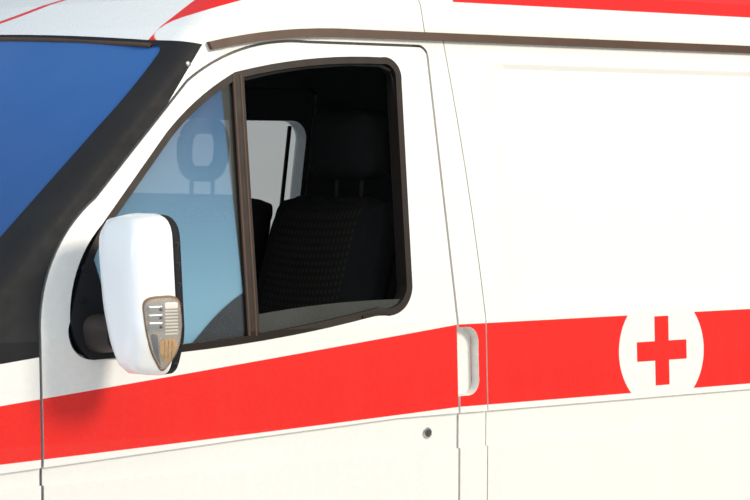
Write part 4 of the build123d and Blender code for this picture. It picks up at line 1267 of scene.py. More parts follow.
@dataclass
class DoorMirror:
    """A door mirror: white shell, black bezel, turn lamp, glass and arm."""

    side: Side
    low: Point = (1.071, 1.04, 1.278)
    high: Point = (1.178, 1.2025, 1.59)
    bezel_depth: float = 0.018
    lean: float = 0.085

    def outline(self) -> Outline:
        """The head's outline, seen from the front: it leans in towards its top.

        Returns:
            The outline in y and z.
        """
        low_y, high_y, low_z, high_z = self.low[1], self.high[1], self.low[2], self.high[2]
        corners = [
            (low_y, high_z), (high_y, high_z), (high_y, 1.44), (high_y, 1.345),
            (high_y - 0.03, low_z), (1.116, low_z - 0.002), (1.079, 1.322), (low_y + 0.01, 1.41),
        ]
        return [(y - self.lean * max(z - 1.37, 0.0), z) for y, z in soft_outline(corners, 6, 0.62)]

    def ring(self, x: float, scale: float) -> list[Vector]:
        """The outline at one x, scaled about its middle.

        Args:
            x: Where it stands.
            scale: Its size.

        Returns:
            The ring's points.
        """
        points = self.outline()
        middle = Vector([sum(c) / len(points) for c in zip(*points)])
        return [
            Vector((x, middle.x + (a - middle.x) * scale, middle.y + (b - middle.y) * scale))
            for a, b in points
        ]

    def build(self) -> None:
        """Makes the mirror's pieces."""
        front, rear = self.high[0], self.low[0]
        seam = rear + self.bezel_depth
        profile = (
            (seam + 0.006, 1.0), (seam + 0.022, 0.995), (front - 0.026, 0.955), (front - 0.012, 0.87),
            (front - 0.004, 0.72), (front - 0.0005, 0.5), (front, 0.2),
        )
        rings = [self.ring(x, scale) for x, scale in ((seam + 0.001, 0.93), (seam + 0.0005, 0.985), *profile)]
        shell = Form(self.side).rings(rings).piece("mirror_shell", SHELL_WHITE, "body_paint", "door", 60)
        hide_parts(f"mirror_{self.side.word}")
        rings = [
            self.ring(seam, 0.97), self.ring(seam - 0.0015, 0.992), self.ring(rear + 0.004, 0.985),
            self.ring(rear, 0.965), self.ring(rear + 0.001, 0.93), self.ring(rear + 0.009, 0.915),
        ]
        Form(self.side).rings(rings).piece("mirror_bezel", TRIM, "black_trim", "door", 50)
        Form(self.side).rings(
            [self.ring(rear + 0.0095, 0.9), self.ring(rear + 0.0075, 0.905), self.ring(rear + 0.0072, 0.4)]
        ).piece("mirror_glass", MIRROR, "glass", "door")
        flank = Skin().over(Form().rings([self.ring(x, scale) for x, scale in ((rear, 1.0), *profile)]))
        self._ribs(flank)
        self._lamp(flank)
        self._arm()
        self._base()

    def _ribs(self, flank: Skin) -> None:
        """Small moulded ribs on the bezel's outer flank.

        Args:
            flank: The head's outer surface.
        """
        form = Form(self.side)
        for k in range(7):
            place = axes((self.low[0] + 0.0085, 1.2, 1.535 - k * 0.039), LEFT)
            for rib in (
                rectangle(0.009, 0.0016, 0.0007, 2),
                [(0.0045, 0), (0.003, 0), (-0.0015, -0.012), (0, -0.012)],
            ):
                form.patch(rib, place, flank, -0.0016, 0.0024, 2)
        form.piece("mirror_ribs", RIB, "black_trim", "door")

    def _lamp(self, flank: Skin) -> None:
        """The turn lamp let into the outer flank, over the seam of shell and bezel.

        Args:
            flank: The head's outer surface.
        """
        place = axes((1.122, 1.19, 1.355), (0.45, 0.89, 0.0))
        rim = [
            (-0.034, 0.071), (0.038, 0.074), (0.043, 0.02), (0.037, -0.028),
            (0.007, -0.074), (-0.018, -0.028),
            (-0.028, 0.015),
        ]
        outer = soft_outline(rim, 5, 0.7)

        def scaled(share: float) -> Outline:
            """The lamp's outline, scaled about its middle."""
            return [(0.008 + (a - 0.008) * share, 0.018 + (b - 0.015) * share) for a, b in outer]

        def add(name: str, finish: Finish, shapes: list[Outline], lift: float, thick: float = 0.0012) -> None:
            """One layer of the lamp.

            Args:
                name: The layer's name.
                finish: Its finish.
                shapes: Its outlines.
                lift: Its height over the flank.
                thick: Its thickness.
            """
            form = Form(self.side)
            for shape in shapes:
                form.patch(shape, place, flank, lift, thick, 5, 0.003)
            form.piece(f"turn_lamp_{name}", finish, "lamp_clear", "door")

        def cell(a: float, b: float, width: float, height: float, corner: float) -> Outline:
            """A small rectangle at a place in the lamp."""
            return [(a + u, b + v) for u, v in rectangle(width, height, corner, 3)]

        add("frame", AMBER_DARK, [scaled(1.06)], 0.0, 0.0012)
        add("back", REFLECTOR, [scaled(0.97)], 0.0012, 0.0008)
        rows = ((0.0535, 0.0125), (0.0378, 0.0115), (0.0205, 0.016))
        add("cups", CUP, [cell(-0.009, b, 0.031, h, 0.003) for b, h in rows], 0.0018)
        add("bulbs", PLUG, [cell(0.0005, b - 0.001, 0.0055, 0.005, 0.001) for b, _ in rows], 0.0028)
        add("clear", BRIGHT, [cell(0.0225, 0.06, 0.026, 0.012, 0.003)], 0.0018)
        add(
            "ribs", RIBBED, [cell(0.0225, 0.0495 - k * 0.0062, 0.026, 0.0036, 0.001) for k in range(8)],
            0.0018
        )
        # A dark patch painted as the shade inside the lamp, between the cups and its tip.
        shade = soft_outline(
            [(-0.022, 0.008), (-0.005, 0.006), (-0.002, -0.035), (0.004, -0.058), (-0.01, -0.034)], 4, 0.7,
        )
        add("shade", DASH, [shade], 0.0016)
        bowl = soft_outline(
            [(-0.003, -0.004), (0.034, -0.003), (0.033, -0.028), (0.014, -0.056), (0.0005, -0.035)], 5, 0.75,
        )
        add("amber", HONEY, [bowl], 0.002, 0.0014)
        add(
            "streaks", AMBER_DARK, [cell(a, -0.024, 0.0022, 0.036, 0.001) for a in (0.008, 0.0155, 0.023)],
            0.0028, 0.001,
        )
        add("lens", LAMP_COVER, [scaled(0.99)], 0.0042, 0.001)

    def _arm(self) -> None:
        """The thick tapered arm between the base plate and the head."""
        rings = []
        for k in range(9):
            t = k / 8
            width = 0.108 - 0.036 * math.sin(t * math.pi * 0.5)
            height = 0.086 - 0.026 * t
            place = Vector((1.124, 0.954 + 0.106 * t, 1.348 + 0.004 * t))
            rings.append([place + Vector((a, 0, b)) for a, b in rectangle(width, height, height * 0.4, 5)])
        Form(self.side).rings(rings).piece("mirror_arm", ARM, "black_trim", "door", 50)

    def _base(self) -> None:
        """The base plate in the window's front corner, its plugs, and the small pane and seal above it."""
        skin = Skin()
        rows = ((1.25, 0.9977), (1.335, 0.9949), (1.65, 0.9341))
        corners = [Vector((x, y - 0.05 * (x - 1.08), z)) for z, y in rows for x in (1.25, 0.95)]
        skin.trees.append(BVHTree.FromPolygons(corners, [(0, 1, 3, 2), (2, 3, 5, 4)]))

        def bend(
            a: Sequence[float], b: Sequence[float], c: Sequence[float], start: float = 0, end: float = 1,
        ) -> Outline:
            """A bent line that leans towards a middle point.

            Args:
                a: Its first point.
                b: The point that it leans towards.
                c: Its last point.
                start: The share of its length where it starts.
                end: The share of its length where it ends.

            Returns:
                The line's points.
            """
            steps = [start + (end - start) * k / 8 for k in range(9)]
            return [
                tuple((1 - s) ** 2 * p + 2 * s * (1 - s) * q + s * s * r for p, q, r in zip(a, b, c))
                for s in steps
            ]

        def add(
            name: str, finish: Finish, shape: Outline, lift: float, deep: float, middle: Sequence[float]
        ) -> bpy.types.Object:
            """One plate in the window's corner.

            Args:
                name: The piece's name.
                finish: Its finish.
                shape: Its outline in x and z.
                lift: Its height over the corner's surface.
                deep: How far its rim goes down.
                middle: The point that its rings close in on.

            Returns:
                The piece.
            """
            local = [(1.1 - x, z - 1.4) for x, z in shape]
            form = Form(self.side).patch(
                local, axes((1.1, 1.2, 1.4), LEFT), skin, lift, 0.0014,
                6, deep, (1.1 - middle[0], middle[1] - 1.4)
            )
            return form.piece(name, finish, "glass" if finish is DOOR_GLASS else "black_trim", "door", 50)

        edge = (1.096, 1.57), (1.165, 1.478), (1.193, 1.375)
        plate = bend(*edge, 0.3) + bend(edge[2], (1.188, 1.318), (1.15, 1.299))[1:]
        plate += [(1.01, 1.303), (1.036, 1.362)]
        plate += bend((1.06, 1.376), (1.112, 1.38), (1.118, 1.44)) + [(1.121, 1.462)]
        piece = add("mirror_base_plate", TRIM, plate, -0.0014, 0.0186, (1.142, 1.355))
        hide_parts(f"mirror_base_{self.side.word}")
        outer = bend(*edge, 0, 0.36)
        inner = [(1.0914, 1.5498)] + [(x - 0.0125, z - 0.0083) for x, z in outer[3:]]
        add("mirror_corner_seal", RUBBER, outer + inner[::-1], -0.0084, 0.0176, (1.1145, 1.5325))
        pane = inner + [
            (1.126, 1.4515), (1.122, 1.41), (1.09, 1.372), (1.042, 1.36), (1.0354, 1.3602), (1.062, 1.42)
        ]
        add("mirror_corner_pane", DOOR_GLASS, pane, -0.0174, 0.0026, (1.09, 1.44))
        form = Form(self.side)
        for x, z in ((1.151, 1.478), (1.163, 1.417)):
            found = skin.side(x, z)
            form.turned(
                [(0.0082, -0.002), (0.0082, 0.0012), (0.0066, 0.0022), (0.0022, 0.0024)], axes(*found), 20
            )
        form.piece("mirror_base_plugs", PLUG, "black_trim", "door")


# Cab doors


@dataclass
class DoorFittings:
    """What a cab door carries: key lock, inner card, pull and window winder."""

    side: Side
    lock: tuple[float, float] = (0.316, 1.098)
    card_depth: float = 0.012

    def build(self) -> None:
        """Makes the door's pieces."""
        skin = Skin("door_left")
        place = axes(*skin.side(*self.lock))
        Form(self.side).turned(
            [
                (0.0125, -0.003), (0.0125, 0.0016), (0.0112, 0.003),
                (0.0085, 0.0032), (0.008, 0.0014), (0.001, 0.0014)
            ],
            place,
        ).piece("lock_ring", CHROME, "steel_paint", "door")
        Form(self.side).turned(
            [(0.0076, 0.001), (0.0076, 0.0022), (0.001, 0.0024)], place, 24,
        ).piece("lock_barrel", IRON, "steel_paint", "door")
        # The keyhole is a near-black slot painted as the shade inside it.
        Form(self.side).prism(
            rectangle(0.0016, 0.0085, 0.0006, 2), place, 0.002, 0.0028,
        ).piece("lock_slot", HOLE_SHADE, "black_trim", "door")
        self._card(skin)

    def _card(self, inner: Skin) -> None:
        """The moulded card on the door's inner face, with a pull and the window winder.

        Args:
            inner: The door's surface.
        """
        outline = soft_outline([(0.275, 0.56), (1.17, 0.56), (1.17, 1.22), (0.275, 1.28)], 6, 0.12)
        middle = (0.72, 0.92)
        tops = []
        for k in range(9):
            share = max(1 - k / 8, 0.02)
            ring = []
            for a, b in outline:
                x, z = middle[0] + (a - middle[0]) * share, middle[1] + (b - middle[1]) * share
                found = inner.hit(Vector((x, 0.2, z)), Vector(LEFT))
                y = found[0].y if found else 0.93
                ring.append(Vector((x, y - (0.003 if k == 0 else self.card_depth), z)))
            tops.append(ring)
        back = [[Vector((p.x, p.y + self.card_depth - 0.003, p.z)) for p in tops[0]]]
        Form(self.side).rings(back + tops, caps=False).piece("door_card", CARD, "dash_plastic", "door", 40)
        form = Form(self.side)
        path = [
            (0.52, 0.898, 1.09), (0.54, 0.862, 1.1), (0.64, 0.852, 1.105),
            (0.74, 0.862, 1.1), (0.76, 0.898, 1.09),
        ]
        form.tube(path, 0.014, 12)
        form.piece("door_pull", DASH, "dash_plastic", "door", 60)
        form = Form(self.side)
        place = axes((0.93, 0.893, 1.00), RIGHT)
        form.turned([(0.024, 0.0), (0.024, 0.01), (0.018, 0.016), (0.001, 0.016)], place, 24)
        form.tube([(0.93, 0.88, 1.00), (0.945, 0.874, 0.97), (0.955, 0.872, 0.93)], 0.007, 8)
        form.turned(
            [(0.012, 0.0), (0.013, 0.02), (0.008, 0.028), (0.001, 0.029)],
            axes((0.955, 0.868, 0.925), RIGHT), 16,
        )
        form.piece("window_winder", DASH, "dash_plastic", "door")


# Seats


@dataclass
class Cushion:
    """A crowned pad, swelled by a cloth simulation."""

    name: str
    body: str
    slot: str
    finish: Finish
    size: Point
    place: Matrix
    crown: float = 0.03
    corner: float = 0.05
    swell: float = 0.02
    voxel: float = 0.009
    frames: int = 14
    pressure: float = 4.0
    stiffness: float = 12.0
    cuts: int = 14
    fill: float = 0.7
    taper: float = 0.0

    def shape(self) -> bmesh.types.BMesh:
        """The pad's form before it swells: a rounded, crowned block with pulled-in sides.

        Returns:
            The form as an editable mesh.
        """
        bm = bmesh.new()
        bmesh.ops.create_cube(bm, size=2.0)
        bmesh.ops.subdivide_edges(bm, edges=bm.edges, cuts=self.cuts, use_grid_fill=True)
        half = Vector(self.size) / 2
        for vertex in bm.verts:
            p = vertex.co
            pulled = [
                math.copysign(min(abs(c), 1.0) * (1 - 0.5 * (self.corner / h) * self._near(p, i)), c)
                for i, (c, h) in enumerate(zip(p, half))
            ]
            narrow = 1 - self.taper * (p.y * 0.5 + 0.5)
            q = Vector((pulled[0] * half.x * narrow, pulled[1] * half.y, pulled[2] * half.z))
            bulge = (1 - p.x**2) * (1 - p.y**2)
            q.z += math.copysign(self.crown * bulge, p.z) * abs(p.z)
            vertex.co = self.place @ q
        return bm

    def _near(self, p: Vector, axis: int) -> float:
        """How near a point of the unit block is to the edges across one axis.

        Args:
            p: The point.
            axis: The axis that is left out.

        Returns:
            A share from 0 to 1.
        """
        others = [abs(p[i]) for i in range(3) if i != axis]
        return max(0.0, max(others) - 0.72) / 0.28

    def build(self) -> bpy.types.Object:
        """Swells the pad and gives it its finish.

        Returns:
            The finished pad.
        """
        bm = self.shape()
        mesh = bpy.data.meshes.new(self.name)
        bmesh.ops.recalc_face_normals(bm, faces=bm.faces)
        bm.to_mesh(mesh)
        bm.free()
        obj = bpy.data.objects.new(self.name, mesh)
        bpy.context.scene.collection.objects.link(obj)
        self._swell(obj)
        obj.data.shade_smooth()
        finer = obj.modifiers.new("finer", "SUBSURF")
        finer.levels = 1
        finer.render_levels = 1
        obj.data.materials.append(self.finish.make())
        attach(obj, self.body)
        LOG.info("%s rides on %s", self.name, self.body)
        return obj

    def _swell(self, obj: bpy.types.Object) -> None:
        """Swells the pad as sewn cloth under pressure, and keeps the result within a limit.

        Args:
            obj: The pad.
        """
        remesh = obj.modifiers.new("even", "REMESH")
        remesh.mode = "VOXEL"
        remesh.voxel_size = self.voxel
        start = bpy.data.meshes.new_from_object(obj.evaluated_get(bpy.context.evaluated_depsgraph_get()))
        obj.modifiers.clear()
        obj.data = start
        rest = [vertex.co.copy() for vertex in start.vertices]
        cloth = obj.modifiers.new("cloth", "CLOTH")
        cloth.settings.quality = 4
        cloth.settings.use_pressure = True
        cloth.settings.uniform_pressure_force = self.pressure
        cloth.settings.effector_weights.gravity = 0.0
        cloth.settings.tension_stiffness = self.stiffness
        cloth.settings.compression_stiffness = self.stiffness
        scene = bpy.context.scene
        for step in range(1, self.frames + 1):
            scene.frame_set(step)
        result = bpy.data.meshes.new_from_object(obj.evaluated_get(bpy.context.evaluated_depsgraph_get()))
        obj.modifiers.clear()
        scene.frame_set(1)
        for vertex, home in zip(result.vertices, rest):
            move = vertex.co - home
            if move.length > self.swell:
                vertex.co = home + move * (self.swell / move.length)
        obj.data = result
        result.materials.clear()


@dataclass
class CabSeat:
    """A cab seat: plinth, cushion, back and headrests on posts."""

    name: str
    node: str
    middle_y: float
    width: float
    headrests: tuple[float, ...]
    open_rests: bool
    back_x: float = -0.075
    taper: float = 0.1
    wing: float = 0.0

    def build(self) -> None:
        """Makes the seat's pieces."""
        x = self.back_x
        form = Form()
        place = axes((x + 0.555, self.middle_y, 0.865), UP, LEFT)
        form.prism(rectangle(0.4, self.width - 0.1, 0.03), place, -0.12, 0.115)
        plinth = form.piece(f"{self.name}_plinth", DASH, "dash_plastic")
        bevel(plinth, 0.006)
        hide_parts(self.node)
        Cushion(
            f"{self.name}_cushion", "vehicle", "fabric", CHECK, (self.width - 0.02, 0.5, 0.12),
            axes((x + 0.56, self.middle_y, 1.045), UP, FORE), crown=0.02, swell=0.016,
        ).build()
        lean = Vector((0.262 - 0.4, 0, 1.615 - 1.11)).normalized()
        out = Vector((lean.z, 0, -lean.x))
        middle = Vector((x + 0.274, self.middle_y - self.wing / 2, 1.369))
        Cushion(
            f"{self.name}_back", "vehicle", "fabric", CHECK, (self.width - 0.008 + self.wing, 0.514, 0.095),
            axes(middle, out, lean), crown=0.014, swell=0.014, corner=0.035, taper=self.taper,
        ).build()
        for k, y in enumerate(self.headrests):
            self._rest(k, y, x)

    def _rest(self, k: int, y: float, x: float) -> None:
        """One headrest with its two posts.

        Args:
            k: Its number.
            y: Its middle.
            x: The foot of the seat's back.
        """
        form = Form()
        for off in (-0.05, 0.05):
            form.tube([(x + 0.2, y + off, 1.58), (x + 0.198, y + off, 1.66)], 0.0055, 12)
        form.piece(f"{self.name}_posts_{k}", DASH, "dash_plastic")
        tilt = (1, 0, 0.06)
        if self.open_rests:
            place = axes((x + 0.196, y, 1.722), tilt)
            loop = [place @ Vector((a, b, 0)) for a, b in rectangle(0.175, 0.125, 0.055, 8)]
            form = Form().tube(loop, 0.021, 14, closed=True)
            pad = form.piece(f"{self.name}_headrest_{k}", FABRIC, "fabric", sharp=60)
            return
        Cushion(
            f"{self.name}_headrest_{k}", "vehicle", "fabric", FABRIC, (0.262, 0.172, 0.102),
            axes((x + 0.196, y, 1.733), tilt), crown=0.012, corner=0.03,
            swell=0.01, cuts=10, fill=0.85, taper=0.1,
        ).build()


# Wheels


@dataclass
class Wheel:
    """A tyre with tread blocks, wheel nuts, a cap and a valve; CAD makes the rim."""

    side: Side
    body: str
    node: str
    axle_x: float
    middles: tuple[float, ...]
    nut_y: float
    nut_r: float = 0.085
    nuts: int = 6
    axle_z: float = HUB_HEIGHT
    half: float = 0.092
    blocks: int = 64

    def profile(self) -> Outline:
        """The tyre's profile, from the inner bead to the outer.

        Returns:
            The (radius, offset) points.
        """
        half = self.half
        outer = [
            (0.2035, 0.068), (0.212, 0.079), (0.222, 0.084), (0.23, 0.0868), (0.236, 0.0862), (0.24, 0.0885),
            (0.256, 0.0912), (0.27, half), (0.284, 0.0914), (0.288, 0.0898), (0.292, 0.0904), (0.306, 0.0875),
            (0.318, 0.0835), (0.326, 0.0785), (0.3315, 0.071), (0.334, 0.06),
        ]
        grooves = [(0.3345, 0.042), (0.3345, 0.022), (0.3345, 0.0)]
        right = outer + grooves
        return [(r, -y) for r, y in right] + [(r, y) for r, y in reversed(right[:-1])]

    def build(self) -> None:
        """Makes the wheel's pieces."""
        end = "front" if self.axle_x > 0 else "rear"
        form = Form(self.side)
        for middle in self.middles:
            place = axes((self.axle_x, middle, self.axle_z), LEFT)
            form.turned(
                self.profile() + [(0.2035, 0.068), (0.198, 0.05), (0.198, -0.05), (0.2035, -0.068)],
                place, 96,
            )
            self._tread(form, place)
        tyre = form.piece(f"tyre_{end}", TYRE_SIDE, "rubber", self.body, 30)
        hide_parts(self.node)
        face = axes((self.axle_x, self.nut_y, self.axle_z), LEFT)
        seed = Form().prism(circle(0.0135, 6), ORIGIN, 0.0, 0.016, 0.002)
        seed.turned([(0.0175, -0.002), (0.0175, 0.002), (0.015, 0.004), (0.001, 0.004)], ORIGIN, 20)
        seed.turned([(0.0055, 0.014), (0.0055, 0.021), (0.004, 0.0225), (0.001, 0.0225)], ORIGIN, 12)
        Form(self.side).spread(
            Layout.RING, seed, IRON, face, copies=self.nuts, radius=self.nut_r,
        ).piece(f"wheel_nuts_{end}", NUT, "steel_paint", self.body)
        form = Form(self.side).turned(
            [(0.049, -0.004), (0.049, 0.004), (0.046, 0.012), (0.036, 0.02), (0.02, 0.024), (0.001, 0.025)],
            face, 36
        )
        form.piece(f"hub_cap_{end}", WHEEL_CAP, "steel_paint", self.body)
        form = Form(self.side)
        valve_y = self.nut_y if self.axle_x > 0 else self.middles[-1] - 0.03
        x, z = self.axle_x + 0.176, self.axle_z + 0.02
        form.turned(
            [(0.005, -0.01), (0.005, 0.012), (0.0042, 0.014), (0.0042, 0.026), (0.001, 0.027)],
            axes((x, valve_y, z), (-0.3, 1, 0)), 14,
        )
        form.piece(f"valve_{end}", TYRE, "rubber", self.body)

    def _tread(self, form: Form, place: Matrix) -> None:
        """Adds the tread: two shoulder rows, two middle rows and a centre rib.

        Args:
            form: The tyre's mesh.
            place: The tyre's frame, its z axis along the axle.
        """
        pitch = math.tau * 0.338 / self.blocks
        rows = (
            (0.0655, 0.024, 0.8, 0.0068, 0.12), (0.0365, 0.021, 0.76, 0.0074, -0.22),
            (0.0, 0.03, 0.94, 0.0076, 0.0),
        )
        for offset, width, share, rise, slant in rows:
            for sign in (1, -1) if offset else (1,):
                seed = Form()
                long = pitch * share / 2
                ring_low, ring_top = [], []
                for a, b in ((-long, -width / 2), (long, -width / 2), (long, width / 2), (-long, width / 2)):
                    shift = a + b * slant * sign
                    ring_low.append(Vector((-rise - 0.003, shift, b)))
                    drop = 0.0016 if offset > 0.06 and b * sign > 0 else 0.0
                    ring_top.append(Vector((-drop, shift * 0.94, b * 0.94)))
                seed.rings([ring_low, ring_top])
                spot = place @ Matrix.Translation((0, 0, offset * sign))
                radius = 0.3418 if offset < 0.06 else 0.3392
                turned = spot @ Matrix.Rotation(pitch / 0.338 * 0.5 * (offset > 0.06), 4, "Z")
                form.spread(Layout.RING, seed, TYRE, turned, copies=self.blocks, radius=radius)


# Front end


@dataclass
class FrontEnd:
    """What the nose carries: lamp insides, grille mesh, plate, wipers and jets."""

    plate_size: tuple[float, float] = (0.52, 0.11)
    plate_x: float = 2.7
    plate_z: float = 0.532
    lamp_middle: Point = (2.475, 0.7, 0.88)
    grille_bow: float = 0.3

    def build(self) -> None:
        """Makes the front end's pieces."""
        for side in Side:
            self._lamp(side)
            self._repeater(side)
        self._grille()
        self._plate()
        self._wipers()
        self._jets()

    def _lamp(self, side: Side) -> None:
        """One headlamp's reflector, bulbs and turn lamp.

        Args:
            side: The vehicle's side.
        """
        x, y, z = self.lamp_middle
        out = Vector((1, 0.18, 0))
        form = Form(side).turned(
            [
                (0.074, 0.052), (0.078, 0.05), (0.077, 0.02), (0.06, -0.01), (0.034, -0.026), (0.016, -0.03),
                (0.016, -0.032), (0.036, -0.028), (0.063, -0.012), (0.08, 0.02), (0.081, 0.052),
            ],
            axes((x + 0.02, y, z), out), 48,
        )
        form.piece("lamp_bowl", SILVER, "lamp_clear", sharp=50)
        Form(side).turned(
            [(0.012, -0.028), (0.012, 0.0), (0.009, 0.002), (0.009, 0.024), (0.006, 0.03), (0.001, 0.032)],
            axes((x + 0.02, y, z), out), 24,
        ).piece("lamp_bulb", BULB, "lamp_clear")
        form = Form(side).turned(
            [
                (0.04, 0.028), (0.042, 0.026), (0.038, 0.0), (0.018, -0.014),
                (0.018, -0.017), (0.041, -0.003),
                (0.045, 0.028),
            ],
            axes((x - 0.012, y + 0.132, z + 0.022), (1, 0.5, 0)), 36,
        )
        form.piece("turn_bowl", AMBER, "lamp_clear")
        skin = Skin("headlamps")
        form = Form(side)
        for k in range(14):
            rib_y = 0.6 + k * 0.0235
            path = [skin.front(rib_y, z)[0] + Vector((-0.004, 0, 0)) for z in (0.815, 0.85, 0.885, 0.92)]
            form.tube(path, 0.0016, 6)
        form.piece("lens_ribs", RIBBED, "lamp_clear")

    def _repeater(self, side: Side) -> None:
        """A small turn lamp on the wing and two marker lamps on the sill.

        Args:
            side: The vehicle's side.
        """
        skin = Skin("front_wings")
        sill = Skin("load_side_left")
        form = Form(side)
        base = Form(side)
        spots = ((1.395, 1.000, skin), (-0.55, 0.64, sill), (-2.2, 0.64, sill))
        for x, z, surface in spots:
            place = axes(surface.side(x, z)[0], LEFT)
            long = 0.095 if surface is skin else 0.075
            base.patch(rectangle(long + 0.012, 0.046, 0.012, 4), place, surface, -0.001, 0.0026, 5)
            form.patch(rectangle(long, 0.034, 0.01, 4), place, surface, 0.0012, 0.0034, 6)
        base.piece("marker_bases", TRIM, "black_trim")
        form.piece("marker_lenses", AMBER, "lamp_clear")

    def _grille(self) -> None:
        """A dark curved mesh behind the grille's bars, and behind it a near-black sheet painted as the shade
        inside the nose.
        """
        # Painted shade: a near-black sheet stands for the dark space behind the grille.
        rows = []
        for thick in (0.0, -0.006):
            ring = []
            for k in range(25):
                y = -0.49 + 0.98 * k / 24
                ring.append((2.618 - self.grille_bow * y * y + thick, y))
            rows.append(ring)
        outline = rows[0] + rows[1][::-1]
        rings = [[(x, y, z) for x, y in outline] for z in (0.75, 0.8, 0.85, 0.9, 0.936)]
        Form().rings(rings).piece("grille_back", HOLE_SHADE, "black_trim")
        form = Form()
        for z in [0.755 + 0.0125 * k for k in range(15)]:
            across = [-0.485 + 0.97 * k / 20 for k in range(21)]
            form.tube([(2.6225 - self.grille_bow * y * y, y, z) for y in across], 0.0016, 6)
        for y in [-0.4725 + 0.0225 * k for k in range(43)]:
            form.tube(
                [(2.6225 - self.grille_bow * y * y, y, z) for z in (0.752, 0.8, 0.86, 0.934)], 0.0014, 6
            )
        form.piece("grille_mesh", TRIM, "black_trim")

    def _plate(self) -> None:
        """A blank number plate on two brackets in the bumper's opening."""
        width, height = self.plate_size
        place = axes((self.plate_x, 0, self.plate_z), FORE)
        Form().plate(width, height, place, 0.0022, 0.0005).piece("front_plate", PLATE, "body_paint")
        form = Form()
        for y in (-0.18, 0.18):
            form.prism(
                rectangle(0.03, 0.085, 0.006), axes(
                    (self.plate_x - 0.001, y, self.plate_z), FORE,
                ), -0.075, 0.0, 0.001,
            )
        form.piece("plate_brackets", TRIM, "black_trim")
        seed = Form().turned(SCREW, ORIGIN, 16)
        spot = place @ Matrix.Translation((0, 0, 0.0022))
        Form().spread(
            Layout.GRID, seed, IRON, spot, columns=2, rows=2, width=0.44, height=0.07,
        ).piece("plate_screws", NUT, "steel_paint")
        for side in Side:
            self._bumper_side(side)

    def _bumper_side(self, side: Side) -> None:
        """A rub strip and a towing-eye cover on one half of the bumper.

        Args:
            side: The vehicle's side.
        """
        skin = Skin("front_bumper")
        form = Form(side)
        path = [
            skin.front(y, 0.635)[0] + Vector((-0.0065, 0, 0)) for y in [0.05 + 0.09 * k for k in range(9)]
        ]
        form.tube(path, 0.0065, 10, flat=2.2)
        cover = axes((2.74, 0.62, 0.53), FORE)
        form.patch(rectangle(0.09, 0.075, 0.02, 5), cover, skin, -0.0015, 0.0028, 4)
        form.piece("bumper_strip", RIB, "black_trim", sharp=50)

    def _wipers(self) -> None:
        """Two wipers that rest on the foot of the windscreen."""
        skin = Skin("windscreen")
        for k, (pivot_y, tip_y, tip_z) in enumerate(((0.3, 0.7, 1.455), (-0.42, 0.02, 1.43))):
            foot = Vector((1.665, pivot_y, 1.325))
            blade = []
            for i in range(13):
                t = i / 12
                y = pivot_y - 0.26 + (tip_y - pivot_y + 0.26) * t
                z = 1.352 + (tip_z - 1.352) * t
                spot, out = skin.front(y, z)
                blade.append(spot + out * 0.007)
            middle = blade[6]
            form = Form().turned(
                [(0.02, -0.03), (0.02, 0.004), (0.016, 0.012), (0.009, 0.016), (0.001, 0.017)],
                axes(foot, (0.55, 0, 0.85)), 24,
            )
            rise = Vector((0.01, 0, 0.018))
            arm = [foot + (middle - foot) * (i / 8) + rise * math.sin(i / 8 * math.pi) for i in range(9)]
            form.tube(arm, [0.01 - 0.0055 * i / 8 for i in range(9)], 10, flat=0.6)
            form.piece(f"wiper_arm_{k}", TRIM, "black_trim", sharp=50)
            Form().tube(blade, 0.0048, 8, flat=1.3).tube(
                [p + Vector((0.006, 0, 0.007)) for p in blade[2:11]], 0.0035, 8,
            ).piece(f"wiper_blade_{k}", RUBBER, "rubber")

    def _jets(self) -> None:
        """Two washer jets on the bonnet."""
        skin = Skin("bonnet")
        form = Form()
        for y in (-0.33, 0.33):
            found = skin.hit(Vector((1.8, y, 3)), Vector(DOWN))
            form.turned(
                [(0.013, -0.002), (0.012, 0.003), (0.008, 0.008), (0.003, 0.0095), (0.001, 0.0095)],
                axes(*found, FORE), 20,
            )
        form.piece("washer_jets", TRIM, "black_trim", "bonnet")


# Sides and rear


